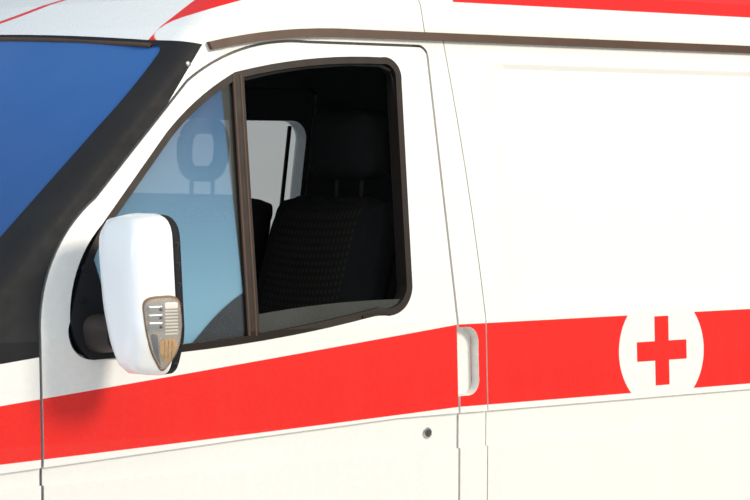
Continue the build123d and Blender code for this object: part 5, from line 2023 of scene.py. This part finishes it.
@dataclass
class BodySide:
    """Fittings along one side: arch lips, flaps, mud flap and, on the right, the sliding door's handle."""

    side: Side

    def build(self) -> None:
        """Makes the side's pieces."""
        self._arches()
        self._mud_flap()
        if self.side is Side.LEFT:
            self._fuel_flap()
        else:
            self._slide_handle()

    def _arches(self) -> None:
        """A folded lip round each wheel arch."""
        form = Form(self.side)
        arches = (
            (Skin("front_wings", "front_bumper"), FRONT_AXLE, 0.43, 12, 150),
            (Skin("load_side_left"), REAR_AXLE, 0.405, 12, 168),
        )
        for skin, x0, r, low, high in arches:
            path = []
            for k in range(34):
                angle = math.radians(low + (high - low) * k / 33)
                x, z = x0 + (r + 0.006) * math.cos(angle), HUB_HEIGHT + (r + 0.006) * math.sin(angle)
                spot, _ = skin.side(x, z)
                if spot.y > 0.9:
                    path.append(spot + Vector((0, -0.0025, 0)))
            form.tube(path, 0.0052, 8)
        form.piece("arch_lips", PLAIN_WHITE, "body_paint", sharp=60)

    def _mud_flap(self) -> None:
        """A rubber flap behind the rear wheels."""
        form = Form(self.side)
        rings = []
        for k in range(7):
            t = k / 6
            x, z = -1.615 - 0.035 * t * t, 0.47 - 0.29 * t
            rings.append([(x + a, 0.785 + b, z) for a, b in rectangle(0.006, 0.33 - 0.02 * t, 0.0028, 3)])
        form.rings(rings)
        seed = Form().turned([(0.009, 0.0), (0.009, 0.003), (0.005, 0.006), (0.001, 0.0064)], ORIGIN, 14)
        place = axes((-1.6185, 0.785, 0.452), AFT)
        form.spread(Layout.GRID, seed, TRIM, place, columns=4, rows=1, width=0.28, height=0.0)
        form.piece("mud_flap", TYRE, "rubber")

    def _fuel_flap(self) -> None:
        """The filler flap behind the driver's door, and the painted shade in its gap."""
        skin = Skin("load_side_left")
        place = axes((-0.02, 1.02, 0.765), LEFT)
        # A black patch under the flap shows in its gap as painted shade.
        Form().patch(rectangle(0.162, 0.142, 0.026, 6), place, skin, -0.0006, 0.0012, 5).piece(
            "filler_gap", TRIM, "black_trim"
        )
        Form().patch(rectangle(0.154, 0.134, 0.022, 6), place, skin, 0.0002, 0.0022, 5).piece(
            "filler_flap", PLAIN_WHITE, "body_paint"
        )

    def _slide_handle(self) -> None:
        """The sliding door's pull handle on its base, and the cover of its rail."""
        skin = Skin("sliding_door")
        spots = [skin.hit(Vector((x, -3.0, 1.02)), Vector(LEFT))[0] for x in (-0.02, 0.075)]
        form = Form()
        y = spots[0].y
        form.prism(rectangle(0.165, 0.075, 0.03), axes((0.028, y + 0.004, 1.02), RIGHT), 0.0, 0.0055, 0.002)
        path = [
            (-0.035, y - 0.003, 1.025), (-0.025, y - 0.026, 1.025), (0.028, y - 0.032, 1.025),
            (0.08, y - 0.026, 1.025), (0.09, y - 0.003, 1.025),
        ]
        form.tube(path, 0.0105, 12, flat=1.5)
        form.piece("slide_handle", TRIM, "black_trim", sharp=50)
        rail = Form()
        skin = Skin("load_side_right")
        path = []
        for k in range(14):
            x = -0.8 - 1.05 * k / 13
            found = skin.hit(Vector((x, -3.0, 1.238)), Vector(LEFT))
            path.append(found[0] + Vector((0, -0.0015, 0)))
        rail.tube(path, 0.0045, 10, flat=1.4)
        rail.piece("slide_rail_cover", RAIL, "black_trim")


@dataclass
class RearEnd:
    """Rear lamps' segments, handles, blank plate, brake lamp and step tread."""

    plate_z: float = 0.905

    def build(self) -> None:
        """Makes the rear's pieces."""
        for side in Side:
            self._lamp(side)
        self._handle()
        self._plate()
        self._brake_lamp()
        self._step()

    def _lamp(self, side: Side) -> None:
        """Amber and clear fields and moulded ribs on one tail lamp.

        Args:
            side: The vehicle's side.
        """
        skin = Skin("tail_lamps")
        fields = ((0.972, AMBER, "amber"), (0.742, LENS_WHITE, "clear"))
        for z, finish, label in fields:
            place = axes((-2.7, 0.955, z), AFT)
            Form(side).patch(
                rectangle(0.118, 0.062, 0.01, 4), place, skin, 0.0002, 0.0014, 4,
            ).piece(f"tail_{label}", finish, "lamp_red")
        form = Form(side)
        for k in range(19):
            z = 0.715 + 0.0152 * k
            place = axes((-2.7, 0.955, z), AFT)
            form.patch(rectangle(0.112, 0.0026, 0.0011, 2), place, skin, 0.0016, 0.0012, 1)
        form.piece("tail_ribs", RIBBED, "lamp_red")
        form = Form(side)
        surface = Skin("rear_door_left")
        place = axes((-2.72, 0.72, 0.66), AFT)
        form.patch(rectangle(0.095, 0.036, 0.008, 4), place, surface, 0.0002, 0.0045, 4)
        form.piece("rear_reflector", RED_LENS, "lamp_red", "rear_door")

    def _handle(self) -> None:
        """The lever handle and lock on the left rear door, and the centre strip."""
        skin = Skin("rear_door_left")
        spot = skin.rear(0.085, 1.12)[0]
        place = axes(spot, AFT)
        form = Form().prism(rectangle(0.115, 0.2, 0.022), place, -0.002, 0.006, 0.002)
        lever = [place @ Vector(p) for p in (
            (0, 0.055, 0.003), (0, 0.05, 0.019), (0, 0.0, 0.0245), (0, -0.06, 0.021), (0, -0.075, 0.013),
        )]
        form.tube(lever, [0.011, 0.013, 0.014, 0.013, 0.01], 12, flat=1.3)
        form.piece("rear_handle", TRIM, "black_trim", "rear_door_left", 50)
        Form().turned(
            [(0.012, 0.004), (0.012, 0.009), (0.008, 0.01), (0.008, 0.0085), (0.001, 0.0085)],
            place @ Matrix.Translation((0.036, 0.072, 0)), 24,
        ).piece("rear_lock", CHROME, "steel_paint", "rear_door_left")
        form = Form()
        path = [skin.rear(0.018, 0.6 + 0.1 * k)[0] + Vector((-0.002, 0, 0)) for k in range(14)]
        path = [Vector((p.x, 0.003, p.z)) for p in path]
        form.tube(path, 0.0055, 8)
        form.piece("rear_centre_strip", RUBBER, "rubber", "rear_door_left")

    def _plate(self) -> None:
        """The blank rear plate with its lamp hood on the right rear door."""
        skin = Skin("rear_door_right")
        spot = skin.rear(-0.44, self.plate_z)[0]
        place = axes((spot.x - 0.004, -0.44, self.plate_z), AFT)
        form = Form().plate(0.52, 0.11, place, 0.0024, 0.0006)
        form.piece("rear_plate", PLATE, "body_paint", "rear_door_right")
        form = Form().prism(rectangle(0.545, 0.135, 0.012), place, -0.018, 0.0, 0.002)
        hood = place @ Matrix.Translation((0, 0.082, 0.01))
        form.prism(rectangle(0.24, 0.034, 0.012), hood, -0.026, 0.012, 0.006)
        form.piece("rear_plate_holder", TRIM, "black_trim", "rear_door_right", 50)
        seed = Form().turned(SCREW, ORIGIN, 16)
        spot = place @ Matrix.Translation((-0.19, 0, 0.0024))
        Form().spread(
            Layout.LINE, seed, IRON, spot, copies=2, step=(0.38, 0, 0),
        ).piece("rear_plate_screws", NUT, "steel_paint", "rear_door_right")

    def _brake_lamp(self) -> None:
        """The high brake lamp over the rear doors."""
        skin = Skin("roof_load")
        spot = skin.rear(0.0, 2.01)[0]
        place = axes((spot.x, 0, 2.01), (-1, 0, 0.12))
        Form().patch(rectangle(0.3, 0.048, 0.014, 5), place, skin, -0.001, 0.006, 5).piece(
            "brake_lamp_base", TRIM, "black_trim"
        )
        Form().patch(rectangle(0.27, 0.03, 0.01, 5), place, skin, 0.004, 0.006, 5).piece(
            "brake_lamp", RED_LENS, "lamp_red"
        )

    def _step(self) -> None:
        """Raised studs on the step's tread."""
        seed = Form().turned([(0.0062, -0.001), (0.0058, 0.0), (0.0046, 0.0014), (0.001, 0.0016)], ORIGIN, 10)
        low = Vector(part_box("rear_step")[0])
        place = Matrix.Translation((low.x + 0.0215, 0, 0.543))
        Form().spread(
            Layout.GRID, seed, TRIM, place, columns=2, rows=66, width=0.02, height=1.6,
        ).piece("step_studs", RIB, "black_trim")


# Roof


@dataclass
class LightBar:
    """Insides and small parts of the roof lights."""

    middle_x: float = 0.29

    def build(self) -> None:
        """Makes the light bar's pieces."""
        form = Form()
        bulbs = Form()
        for sign in (-1, 1):
            for y in (0.33, 0.54):
                place = axes((self.middle_x, sign * y, 2.246), UP, LEFT)
                form.turned(
                    [(0.055, 0.0), (0.055, 0.008), (0.03, 0.012), (0.03, 0.02), (0.001, 0.02)], place, 32
                )
                rings = []
                for k in range(9):
                    angle = math.radians(-70 + 140 * k / 8)
                    x, z = 0.05 * math.cos(angle) - 0.03, 0.034 * math.sin(angle)
                    rings.append((self.middle_x - 0.015 + x, z + 2.29))
                profile = [(x, z) for x, z in rings] + [(x - 0.004, z) for x, z in reversed(rings)]
                widths = (-0.042, -0.02, 0.0, 0.02, 0.042)
                form.rings([[(x, sign * y + off, z) for x, z in profile] for off in widths])
                bulbs.turned([(0.01, 0.018), (0.01, 0.04), (0.006, 0.052), (0.001, 0.054)], place, 16)
        form.piece("beacon_reflectors", SILVER, "lamp_blue", sharp=50)
        bulbs.piece("beacon_bulbs", BULB, "lamp_blue")
        # The horn's slots are near-black strips painted as the shade inside them.
        seed = Form().prism(rectangle(0.006, 0.058, 0.0028, 3), axes((0, 0, 0), FORE), 0.0, 0.0022, 0.0008)
        place = Matrix.Translation((0.4052, -0.19, 2.278))
        Form().spread(
            Layout.LINE, seed, HOLE_SHADE, place, copies=20, step=(0, 0.02, 0),
        ).piece("horn_slots", HOLE_SHADE, "black_trim")
        form = Form()
        for low, high in ((-0.625, -0.24), (0.24, 0.625)):
            middle, width = (low + high) / 2, high - low
            path = [
                (self.middle_x + b, middle + a, 2.24) for a, b in rectangle(width + 0.004, 0.254, 0.052, 8)
            ]
            form.tube(path, 0.0042, 8, closed=True)
        form.piece("dome_gaskets", RUBBER, "rubber")
        seed = Form().turned([(0.008, 0.0), (0.008, 0.003), (0.0055, 0.0055), (0.001, 0.006)], ORIGIN, 16)
        place = Matrix.Translation((self.middle_x, 0.0, 2.3195))
        Form().spread(
            Layout.GRID, seed, NUT, place, columns=2, rows=4, width=0.19, height=0.4,
        ).piece("bar_screws", NUT, "steel_paint")
        self._ribs()

    def _ribs(self) -> None:
        """Upright ribs moulded in the domes' front and rear faces."""
        form = Form()
        for y in (-0.58, 0.285):
            seed = Form().prism(rectangle(0.0045, 0.07, 0.002, 2), axes((0, 0, 0), FORE), 0.0, 0.0013, 0.0006)
            place = Matrix.Translation((0.4135, y, 2.283))
            form.spread(Layout.LINE, seed, BLUE_LENS, place, copies=25, step=(0, 0.0123, 0))
        form.piece("dome_ribs", BLUE_LENS, "lamp_blue")


# Cab inside


@dataclass
class CabInside:
    """Dashboard fittings, levers, pedals, visors and belts."""

    wheel_y: float = 0.47

    def build(self) -> None:
        """Makes the cab's pieces."""
        self._binnacle()
        self._vents()
        self._levers()
        self._pedals()
        self._visors()
        for side in Side:
            self._belt(side)
            self._window_strip(side)

    def _binnacle(self) -> None:
        """The hooded dial panel behind the steering wheel."""
        rings = []
        for k in range(7):
            t = k / 6
            x = 1.085 + 0.2 * t
            height = 0.068 * (1 - t) ** 0.6 + 0.002
            width = 0.4 - 0.03 * t
            ring = []
            for i in range(17):
                angle = math.pi * i / 16
                ring.append(
                    (
                        x, self.wheel_y - width / 2 * math.cos(angle),
                        1.268 + 0.016 * t + height * math.sin(angle) ** 0.6,
                    )
                )
            ring += [
                (x, p, 1.262)
                for p in (self.wheel_y + width / 2 * 0.9, self.wheel_y, self.wheel_y - width / 2 * 0.9)
            ]
            rings.append(ring)
        Form().rings(rings).piece("dial_hood", DASH, "dash_plastic", sharp=40)
        face = axes((1.083, self.wheel_y, 1.296), (-1, 0, 0.15))
        form = Form()
        for off, r in ((-0.085, 0.036), (0.0, 0.026), (0.085, 0.036)):
            form.turned(
                [(r, 0.0), (r, 0.004), (r - 0.003, 0.006), (r - 0.004, 0.003), (0.001, 0.003)],
                face @ Matrix.Translation((off, 0, 0)), 40,
            )
        form.piece("dial_rings", TRIM, "dash_plastic")
        form = Form()
        for off, r, angle in ((-0.085, 0.026, 2.4), (0.0, 0.018, 1.9), (0.085, 0.026, 2.7)):
            tip = Vector((off + r * math.cos(angle), r * math.sin(angle), 0.0046))
            form.tube([face @ Vector((off, 0, 0.0042)), face @ tip], [0.0016, 0.0006], 6)
            seed = Form().prism(rectangle(0.005, 0.0012, 0.0004, 2), ORIGIN, 0.0, 0.0008)
            place = face @ Matrix.Translation((off, 0, 0.0032))
            form.spread(Layout.RING, seed, PLATE, place, copies=24, radius=r)
        form.piece("dial_needles", PLATE, "dash_plastic")

    def _vents(self) -> None:
        """Four air vents, a blank radio slot, switches and the glove box lid."""
        slope = (-0.67, 0, 0.74)
        form = Form()
        slats = Form()
        skin = Skin("dashboard")
        for y in (-0.79, -0.16, 0.16, 0.79):
            found = skin.hit(Vector((0.5, y, 1.225)), Vector(FORE))
            place = axes(found[0], slope)
            rim = [place @ Vector((a, b, 0.001)) for a, b in rectangle(0.13, 0.062, 0.014)]
            form.tube(rim, 0.0045, 8, closed=True)
            seed = Form().prism(rectangle(0.118, 0.0024, 0.001, 2), ORIGIN, 0.0, 0.0035)
            spot = place @ Matrix.Translation((0, -0.022, 0))
            slats.spread(Layout.LINE, seed, TRIM, spot, copies=6, step=(0, 0.0088, 0))
        form.piece("vent_rims", TRIM, "dash_plastic")
        slats.piece("vent_slats", RIB, "dash_plastic")
        form = Form()
        face = skin.hit(Vector((0.5, 0.0, 1.11)), Vector(FORE))
        place = axes(face[0], (-1, 0, 0.1))
        form.prism(rectangle(0.2, 0.062, 0.006), place, -0.004, 0.004, 0.0015)
        for off in (-0.085, 0.085):
            form.turned(
                [(0.012, 0.003), (0.0115, 0.016), (0.009, 0.018), (0.001, 0.018)],
                place @ Matrix.Translation((off, 0, 0)), 24,
            )
        form.piece("centre_stack", RIB, "dash_plastic")
        form = Form()
        face = skin.hit(Vector((0.5, -0.48, 1.1)), Vector(FORE))
        form.prism(rectangle(0.42, 0.13, 0.02), axes(face[0], (-1, 0, 0.1)), -0.006, 0.005, 0.003)
        form.prism(
            rectangle(0.07, 0.018, 0.007), axes(
                face[0] + Vector((-0.004, 0, 0.045)), (-1, 0, 0.1),
            ), 0.0, 0.008, 0.003,
        )
        form.piece("glove_lid", DASH, "dash_plastic")

    def _levers(self) -> None:
        """The gear lever in its gaiter, the hand brake and the column stalks."""
        form = Form()
        gaiter = [
            (0.075, 0.0), (0.07, 0.012), (0.052, 0.03), (0.056, 0.04),
            (0.04, 0.06), (0.043, 0.07), (0.026, 0.092),
            (0.012, 0.11), (0.001, 0.112),
        ]
        form.turned(gaiter, axes((0.93, 0.145, 0.744), UP, LEFT), 32)
        form.piece("gear_gaiter", FABRIC, "rubber", sharp=60)
        form = Form().tube(
            [(0.93, 0.145, 0.84), (0.915, 0.145, 0.93), (0.885, 0.147, 1.02)], [0.008, 0.008, 0.0065], 12,
        )
        form.turned(
            [(0.008, 0.0), (0.019, 0.012), (0.025, 0.034), (0.021, 0.052), (0.01, 0.06), (0.001, 0.061)],
            axes((0.884, 0.147, 1.012), (-0.25, 0, 1), LEFT), 28,
        )
        form.piece("gear_lever", DASH, "dash_plastic", sharp=50)
        form = Form().prism(
            rectangle(0.15, 0.06, 0.02), axes((0.42, 0.145, 0.744), UP, LEFT), 0.0, 0.028, 0.01
        )
        form.tube(
            [(0.39, 0.145, 0.76), (0.46, 0.145, 0.8), (0.56, 0.145, 0.855), (0.66, 0.145, 0.9)],
            [0.01, 0.01, 0.015, 0.014], 12,
        )
        form.piece("hand_brake", DASH, "dash_plastic", sharp=50)
        form = Form()
        for sign in (-1, 1):
            path = [
                (0.945, self.wheel_y + sign * 0.03, 1.165), (0.93, self.wheel_y + sign * 0.09, 1.18),
                (0.918, self.wheel_y + sign * 0.165, 1.196),
            ]
            form.tube(path, [0.006, 0.0055, 0.0085], 10)
        rings = []
        for t, width, height in ((0.0, 0.085, 0.085), (0.5, 0.1, 0.1), (1.0, 0.13, 0.11)):
            x, z = 0.905 + 0.11 * t, 1.215 - 0.155 * t
            place = axes((x, self.wheel_y, z), (0.57, 0, -0.82))
            rings.append([place @ Vector((a, b, 0)) for a, b in rectangle(width, height, 0.03, 5)])
        form.rings(rings)
        form.piece("column_shroud", DASH, "dash_plastic", sharp=50)

    def _pedals(self) -> None:
        """Three hanging pedals with ribbed pads."""
        form = Form()
        ribs = Form()
        for y, width, height, shift in (
            (0.575, 0.062, 0.052, 0.0), (0.47, 0.075, 0.052, 0.0), (0.36, 0.048, 0.125, 0.02),
        ):
            pad = axes((1.135 + shift, y, 0.872), (-0.9, 0, 0.42))
            form.prism(rectangle(width, height, 0.012), pad, -0.008, 0.0, 0.002)
            form.tube(
                [pad @ Vector((0, 0, -0.006)), (1.21 + shift, y, 0.93), (1.25, y, 1.06)], 0.0075, 10, flat=1.4
            )
            seed = Form().prism(rectangle(width - 0.012, 0.0035, 0.0015, 2), ORIGIN, 0.0, 0.0018, 0.0006)
            count = 5 if height < 0.1 else 11
            spot = pad @ Matrix.Translation((0, -0.0095 * (count - 1) / 2, 0))
            ribs.spread(Layout.LINE, seed, TYRE, spot, copies=count, step=(0, 0.0095, 0))
        form.piece("pedals", IRON, "steel_paint", sharp=50)
        ribs.piece("pedal_ribs", TYRE, "rubber")

    def _visors(self) -> None:
        """Two sun visors under the screen's header."""
        for side in Side:
            rings = []
            for k in range(7):
                t = k / 6
                x, z = 0.8 - 0.155 * t, 1.905 + 0.012 * math.sin(t * 2.4)
                thick = 0.01 + 0.007 * math.sin(min(t * 1.2 + 0.15, 1.0) * math.pi)
                rings.append(
                    [
                        (x, 0.36 + a, z + b)
                        for a, b in rectangle(0.4 - 0.02 * abs(t - 0.5), thick * 1.6, thick * 0.75, 5)
                    ]
                )
            Form(side).rings(rings).tube(
                [(0.8, 0.145, 1.905), (0.8, 0.36, 1.905), (0.8, 0.6, 1.905), (0.835, 0.625, 1.93)],
                0.0055, 10,
            ).piece("sun_visor", LINING, "fabric", sharp=60)

    def _belt(self, side: Side) -> None:
        """A seat belt on the centre pillar: guide loop, webbing and tongue.

        Args:
            side: The vehicle's side.
        """
        form = Form(side)
        path = [
            (0.2, 0.862, 1.72), (0.203, 0.876, 1.6), (0.206, 0.893, 1.4),
            (0.206, 0.905, 1.2), (0.206, 0.912, 0.95),
            (0.206, 0.915, 0.86),
        ]
        band = rectangle(0.046, 0.0022, 0.001, 2)
        form.rings([[Vector(point) + Vector((a, b, 0)) for a, b in band] for point in path])
        form.piece("belt", BELT, "fabric")
        form = Form(side)
        loop = axes((0.2, 0.868, 1.735), (0, -1, 0.15))
        form.tube(
            [loop @ Vector((a, b, 0)) for a, b in rectangle(0.062, 0.03, 0.012)], 0.0045, 8, closed=True
        )
        form.turned(
            [(0.016, -0.012), (0.016, 0.004), (0.012, 0.009), (0.001, 0.01)],
            loop @ Matrix.Translation((0, 0.03, 0)),
            24,
        )
        form.piece("belt_guide", DASH, "dash_plastic")

    def _window_strip(self, side: Side) -> None:
        """Channel strips along the door window's opening, its lower rear corner and its dividing bar.

        Args:
            side: The vehicle's side.
        """
        form = Form(side)
        skin = Skin("door_seal_left")
        edge = [
            (0.3545, 1.425), (0.345, 1.5), (0.336, 1.6), (0.329, 1.7),
            (0.3255, 1.8), (0.3245, 1.86), (0.333, 1.892),
            (0.362, 1.903), (0.45, 1.903), (0.56, 1.894), (0.65, 1.88), (0.738, 1.861),
        ]
        path = [(x, 0.996 - LEAN * (z - WAIST) - (x - DOOR_REAR) ** 2 / BOW, z) for x, z in edge]
        # The channel is a near-black tube: partly its black rubber, partly painted shade in its groove.
        form.tube(path, 0.0042, 8)
        form.piece("window_channel", HOLE_SHADE, "rubber", "door", 60)
        foot = [
            (0.49, 1.0024, 1.3585), (0.467, 1.0023, 1.3612), (0.448, 1.0023, 1.3627), (0.43, 1.0024, 1.3625),
            (0.4157, 1.0026, 1.3608),
        ]
        Form(side).tube(foot, 0.0032, 8).piece("seal_foot", RUBBER, "rubber", "door", 60)
        lips = Form(side)
        for shift in (-0.0085, 0.0085):
            path = []
            for k in range(13):
                t = k / 12
                z = 1.875 - 0.545 * t
                x = 0.7385 + 0.034 * (1.96 - z) / 0.71 * 1.12 + shift
                path.append(skin.side(x, z)[0] + Vector((0, -0.0012, 0)))
            lips.tube(path, 0.0036, 8)
        lips.piece("bar_lips", RAIL, "rubber", "door", 60)


# Load space and underbody


@dataclass
class LoadSpace:
    """Pane divider, floor ribs, stretcher rails, ceiling rails and lamps behind the cab."""

    floor_z: float = 0.745

    def build(self) -> None:
        """Makes the load space's pieces."""
        skin = Skin("sliding_door_glass")
        hits = [skin.hit(Vector((-0.69, 0, 1.3 + 0.02 * k)), Vector(RIGHT)) for k in range(34)]
        Form().tube(
            [hit[0] + Vector((0, -0.0025, 0)) for hit in hits if hit], 0.0065, 8,
        ).piece("sliding_pane_bar", RUBBER, "rubber")
        form = Form()
        for y in (-0.84, 0.28):
            seed = Form().prism(rectangle(2.42, 0.006, 0.0028, 3), ORIGIN, -0.001, 0.0026, 0.001)
            place = Matrix.Translation((-1.32, y, self.floor_z))
            form.spread(Layout.LINE, seed, FLOOR_MAT, place, copies=17, step=(0, 0.035, 0))
        form.piece("floor_ribs", FLOOR_MAT, "rubber")
        form = Form()
        for y in (-0.2, 0.2):
            half = [(0.017, 0.005), (0.02, 0.016), (0.026, 0.014), (0.026, 0.0)]
            profile = [(-a, b) for a, b in reversed(half)] + half
            form.rings([[(x, y + a, self.floor_z + b) for a, b in profile] for x in (-2.5, -0.55)])
        form.piece("stretcher_rails", ALLOY, "steel_paint")
        form = Form()
        for y in (-0.3, 0.3):
            form.tube(
                [
                    (-2.3, y, 2.085), (-2.27, y, 2.045), (-2.2, y, 2.03), (-0.6, y, 2.03), (-0.53, y, 2.045),
                    (-0.5, y, 2.085),
                ],
                0.0125, 12,
            )
            for x in (-2.3, -1.4, -0.5):
                form.turned(
                    [(0.028, 0.055), (0.028, 0.05), (0.016, 0.04), (0.012, 0.0), (0.001, 0.0)],
                    axes((x, y, 2.04), UP, FORE), 20,
                )
        form.piece("ceiling_rails", ALLOY, "steel_paint", sharp=50)
        form = Form()
        for x in (-1.9, -0.9):
            place = axes((x, 0, 2.13), DOWN, FORE)
            form.prism(rectangle(0.13, 0.42, 0.03), place, -0.012, 0.022, 0.008)
        form.piece("ceiling_lamps", LENS_WHITE, "lamp_clear")


@dataclass
class Underbody:
    """Dampers, spring clamps, brakes, shaft joints, tank straps and exhaust clamps."""

    front_x: float = FRONT_AXLE
    rear_x: float = REAR_AXLE
    axle_z: float = HUB_HEIGHT

    def build(self) -> None:
        """Makes the underbody's pieces."""
        for side in Side:
            self._shocks(side)
            self._clamps(side)
            self._disc(side)
        self._shaft()
        self._tank()
        self._exhaust()

    def _shocks(self, side: Side) -> None:
        """One telescopic damper at each axle.

        Args:
            side: The vehicle's side.
        """
        form = Form(side)
        for low, high in (
            ((self.front_x - 0.12, 0.5, 0.31), (self.front_x - 0.16, 0.47, 0.585)),
            ((self.rear_x + 0.1, 0.35, 0.3), (self.rear_x + 0.26, 0.375, 0.6)),
        ):
            start, end = Vector(low), Vector(high)
            place = axes(start, end - start, FORE)
            long = (end - start).length
            form.turned(
                [
                    (0.014, -0.012), (0.02, 0.0), (0.024, 0.01), (0.024, long * 0.48), (0.031, long * 0.5),
                    (0.031, long * 0.93), (0.022, long * 0.96), (0.014, long),
                ],
                place, 20,
            )
        form.piece("dampers", IRON, "steel_paint", sharp=50)

    def _clamps(self, side: Side) -> None:
        """Spring clamps over each axle, with their nuts.

        Args:
            side: The vehicle's side.
        """
        form = Form(side)
        for x, low, high in ((self.front_x, 0.296, 0.372), (self.rear_x, 0.38, 0.452)):
            for off in (-0.034, 0.034):
                path = [
                    (x + off, 0.397, low), (x + off, 0.397, high - 0.012), (x + off, 0.405, high),
                    (x + off, 0.455, high), (x + off, 0.463, high - 0.012), (x + off, 0.463, low),
                ]
                form.tube(path, 0.0065, 10)
                for y in (0.397, 0.463):
                    form.turned(
                        [(0.012, -0.006), (0.012, 0.006), (0.008, 0.01), (0.001, 0.01)],
                        axes((x + off, y, low), DOWN, FORE), 6,
                    )
        form.piece("spring_clamps", IRON, "steel_paint")

    def _disc(self, side: Side) -> None:
        """A vented brake disc and its caliper behind each front wheel.

        Args:
            side: The vehicle's side.
        """
        place = axes((self.front_x, 0.812, self.axle_z), LEFT)
        profile = [
            (0.05, -0.012), (0.085, -0.012), (0.14, -0.012), (0.14, -0.004), (0.105, -0.004), (0.105, 0.0),
            (0.14, 0.0), (0.14, 0.008), (0.085, 0.008), (0.08, 0.02), (0.05, 0.022),
        ]
        Form(side).turned(profile, place, 48).piece("brake_disc", STEEL, "steel_paint", "wheel_front")
        form = Form(side)
        arc = [(
            self.front_x + 0.118 * math.cos(a), 0.806, self.axle_z + 0.118 * math.sin(a),
        ) for a in [math.radians(150 + 60 * k / 8) for k in range(9)]]
        form.tube(arc, [0.016, 0.021, 0.023, 0.024, 0.024, 0.024, 0.023, 0.021, 0.016], 12, flat=1.4)
        form.piece("brake_caliper", IRON, "steel_paint", "knuckle", 50)

    def _shaft(self) -> None:
        """Joint collars on the propeller shaft and bolts round the axle's cover."""
        form = Form()
        start, end = Vector((self.rear_x + 0.155, 0, 0.3655)), Vector((0.925, 0, 0.504))
        way = (end - start).normalized()
        for spot in (start + way * 0.05, start.lerp(end, 0.5), end - way * 0.05):
            form.turned(
                [
                    (0.039, -0.036), (0.05, -0.03), (0.05, -0.01), (0.043, -0.004),
                    (0.043, 0.004), (0.05, 0.01),
                    (0.05, 0.03), (0.039, 0.036),
                ],
                axes(spot, way), 24,
            )
        form.piece("shaft_joints", IRON, "steel_paint")
        seed = Form().prism(circle(0.008, 6), ORIGIN, -0.004, 0.007, 0.001)
        place = axes((self.rear_x - 0.088, 0, self.axle_z), AFT)
        Form().spread(Layout.RING, seed, IRON, place, copies=10, radius=0.112).turned(
            [(0.124, -0.004), (0.124, 0.005), (0.098, 0.008), (0.08, 0.04), (0.04, 0.06), (0.001, 0.064)],
            place, 40,
        ).piece("axle_cover", CHASSIS, "steel_paint", sharp=50)

    def _tank(self) -> None:
        """Straps under the fuel tank."""
        form = Form()
        for x in (-0.42, -0.04):
            path = [
                (x, 0.4655, 0.64), (x, 0.4655, 0.436), (x, 0.48, 0.4275),
                (x, 0.84, 0.4275), (x, 0.8635, 0.436),
                (x, 0.8635, 0.64),
            ]
            flat = rectangle(0.0024, 0.032, 0.001, 2)
            for ends in zip(path, path[1:]):
                along = (Vector(ends[1]) - Vector(ends[0])).normalized()
                places = [axes(end, along, FORE) for end in ends]
                form.rings([[place @ Vector((a, b, 0)) for a, b in flat] for place in places])
        form.piece("tank_straps", IRON, "steel_paint")

    def _exhaust(self) -> None:
        """Clamps on the exhaust and a flared tail."""
        form = Form()
        for x in (0.42, -0.36, -0.62):
            form.turned(
                [
                    (0.0275, -0.012), (0.0325, -0.01), (0.0325, 0.01), (0.0275, 0.012),
                ], axes((x, -0.52, 0.42), FORE), 24,
            )
            form.tube([(x, -0.52, 0.452), (x, -0.52, 0.466), (x, -0.512, 0.474)], 0.0045, 8)
        form.turned(
            [(0.0285, 0.0), (0.031, 0.02), (0.0325, 0.05), (0.03, 0.052), (0.0265, 0.02), (0.025, 0.0)],
            axes((-0.898, -0.52, 0.42), AFT), 28,
        )
        form.piece("exhaust_clamps", STEEL, "steel_paint")


@dataclass
class SmallTrim:
    """Trim that finishes the body: pillar plugs, the rubber over the screen and the cowl's slots."""

    def build(self) -> None:
        """Makes the pieces."""
        plug = [(0.0062, -0.001), (0.0062, 0.0012), (0.0045, 0.002), (0.001, 0.0022)]
        place = axes(*Skin("screen_trim").side(0.862, 1.893))
        for side in Side:
            Form(side).turned(plug, place, 20).piece("pillar_plug", CUP, "black_trim")
        skin = Skin("cab_frame", "windscreen", "screen_trim")
        path = []
        for k in range(41):
            y = -0.81 + 1.62 * k / 40
            z = 1.9322 + 0.0355 * (1 - (y / 0.82) ** 2)
            found = skin.hit(Vector((5.0, y, z)), Vector(AFT))
            if found and found[0].x > 0.7:
                path.append(found[0])
        Form().tube(path, 0.0052, 8).piece("screen_top_rubber", RAIL, "rubber", sharp=60)
        skin = Skin("cowl")
        form = Form()
        # The cowl's slots are near-black strips painted as the shade inside them.
        for y in (-0.52, 0.16):
            found = skin.hit(Vector((1.7, y + 0.18, 3)), Vector(DOWN))
            seed = Form().prism(rectangle(0.052, 0.0075, 0.003, 3), ORIGIN, -0.001, 0.0018, 0.0006)
            spot = axes(*found, LEFT) @ Matrix.Translation((0, -0.17, 0))
            form.spread(Layout.LINE, seed, HOLE_SHADE, spot, copies=22, step=(0, 0.0155, 0))
        form.piece("cowl_slots", HOLE_SHADE, "black_trim")


def main() -> None:
    """Builds the studio and every piece, and reports each."""
    logging.basicConfig(level=logging.INFO, format="%(message)s")
    Studio().build()
    dress_nodes()
    for side in Side:
        DoorMirror(side).build()
        DoorFittings(side).build()
        BodySide(side).build()
        word = side.word
        Wheel(side, "wheel_front", f"tyre_front_{word}", FRONT_AXLE, (0.85,), 0.906).build()
        Wheel(side, "wheels_rear", f"tyres_rear_{word}", REAR_AXLE, (0.677, 0.883), 0.7865).build()
    CabSeat("driver", "driver_seat", 0.47, 0.48, (0.47,), False, wing=0.036).build()
    CabSeat("bench", "passenger_seat", -0.311, 0.978, (-0.57, -0.17), True, taper=0.02).build()
    for assembly in (FrontEnd(), RearEnd(), LightBar(), CabInside(), LoadSpace(), Underbody(), SmallTrim()):
        assembly.build()


if __name__ == "__main__":
    main()
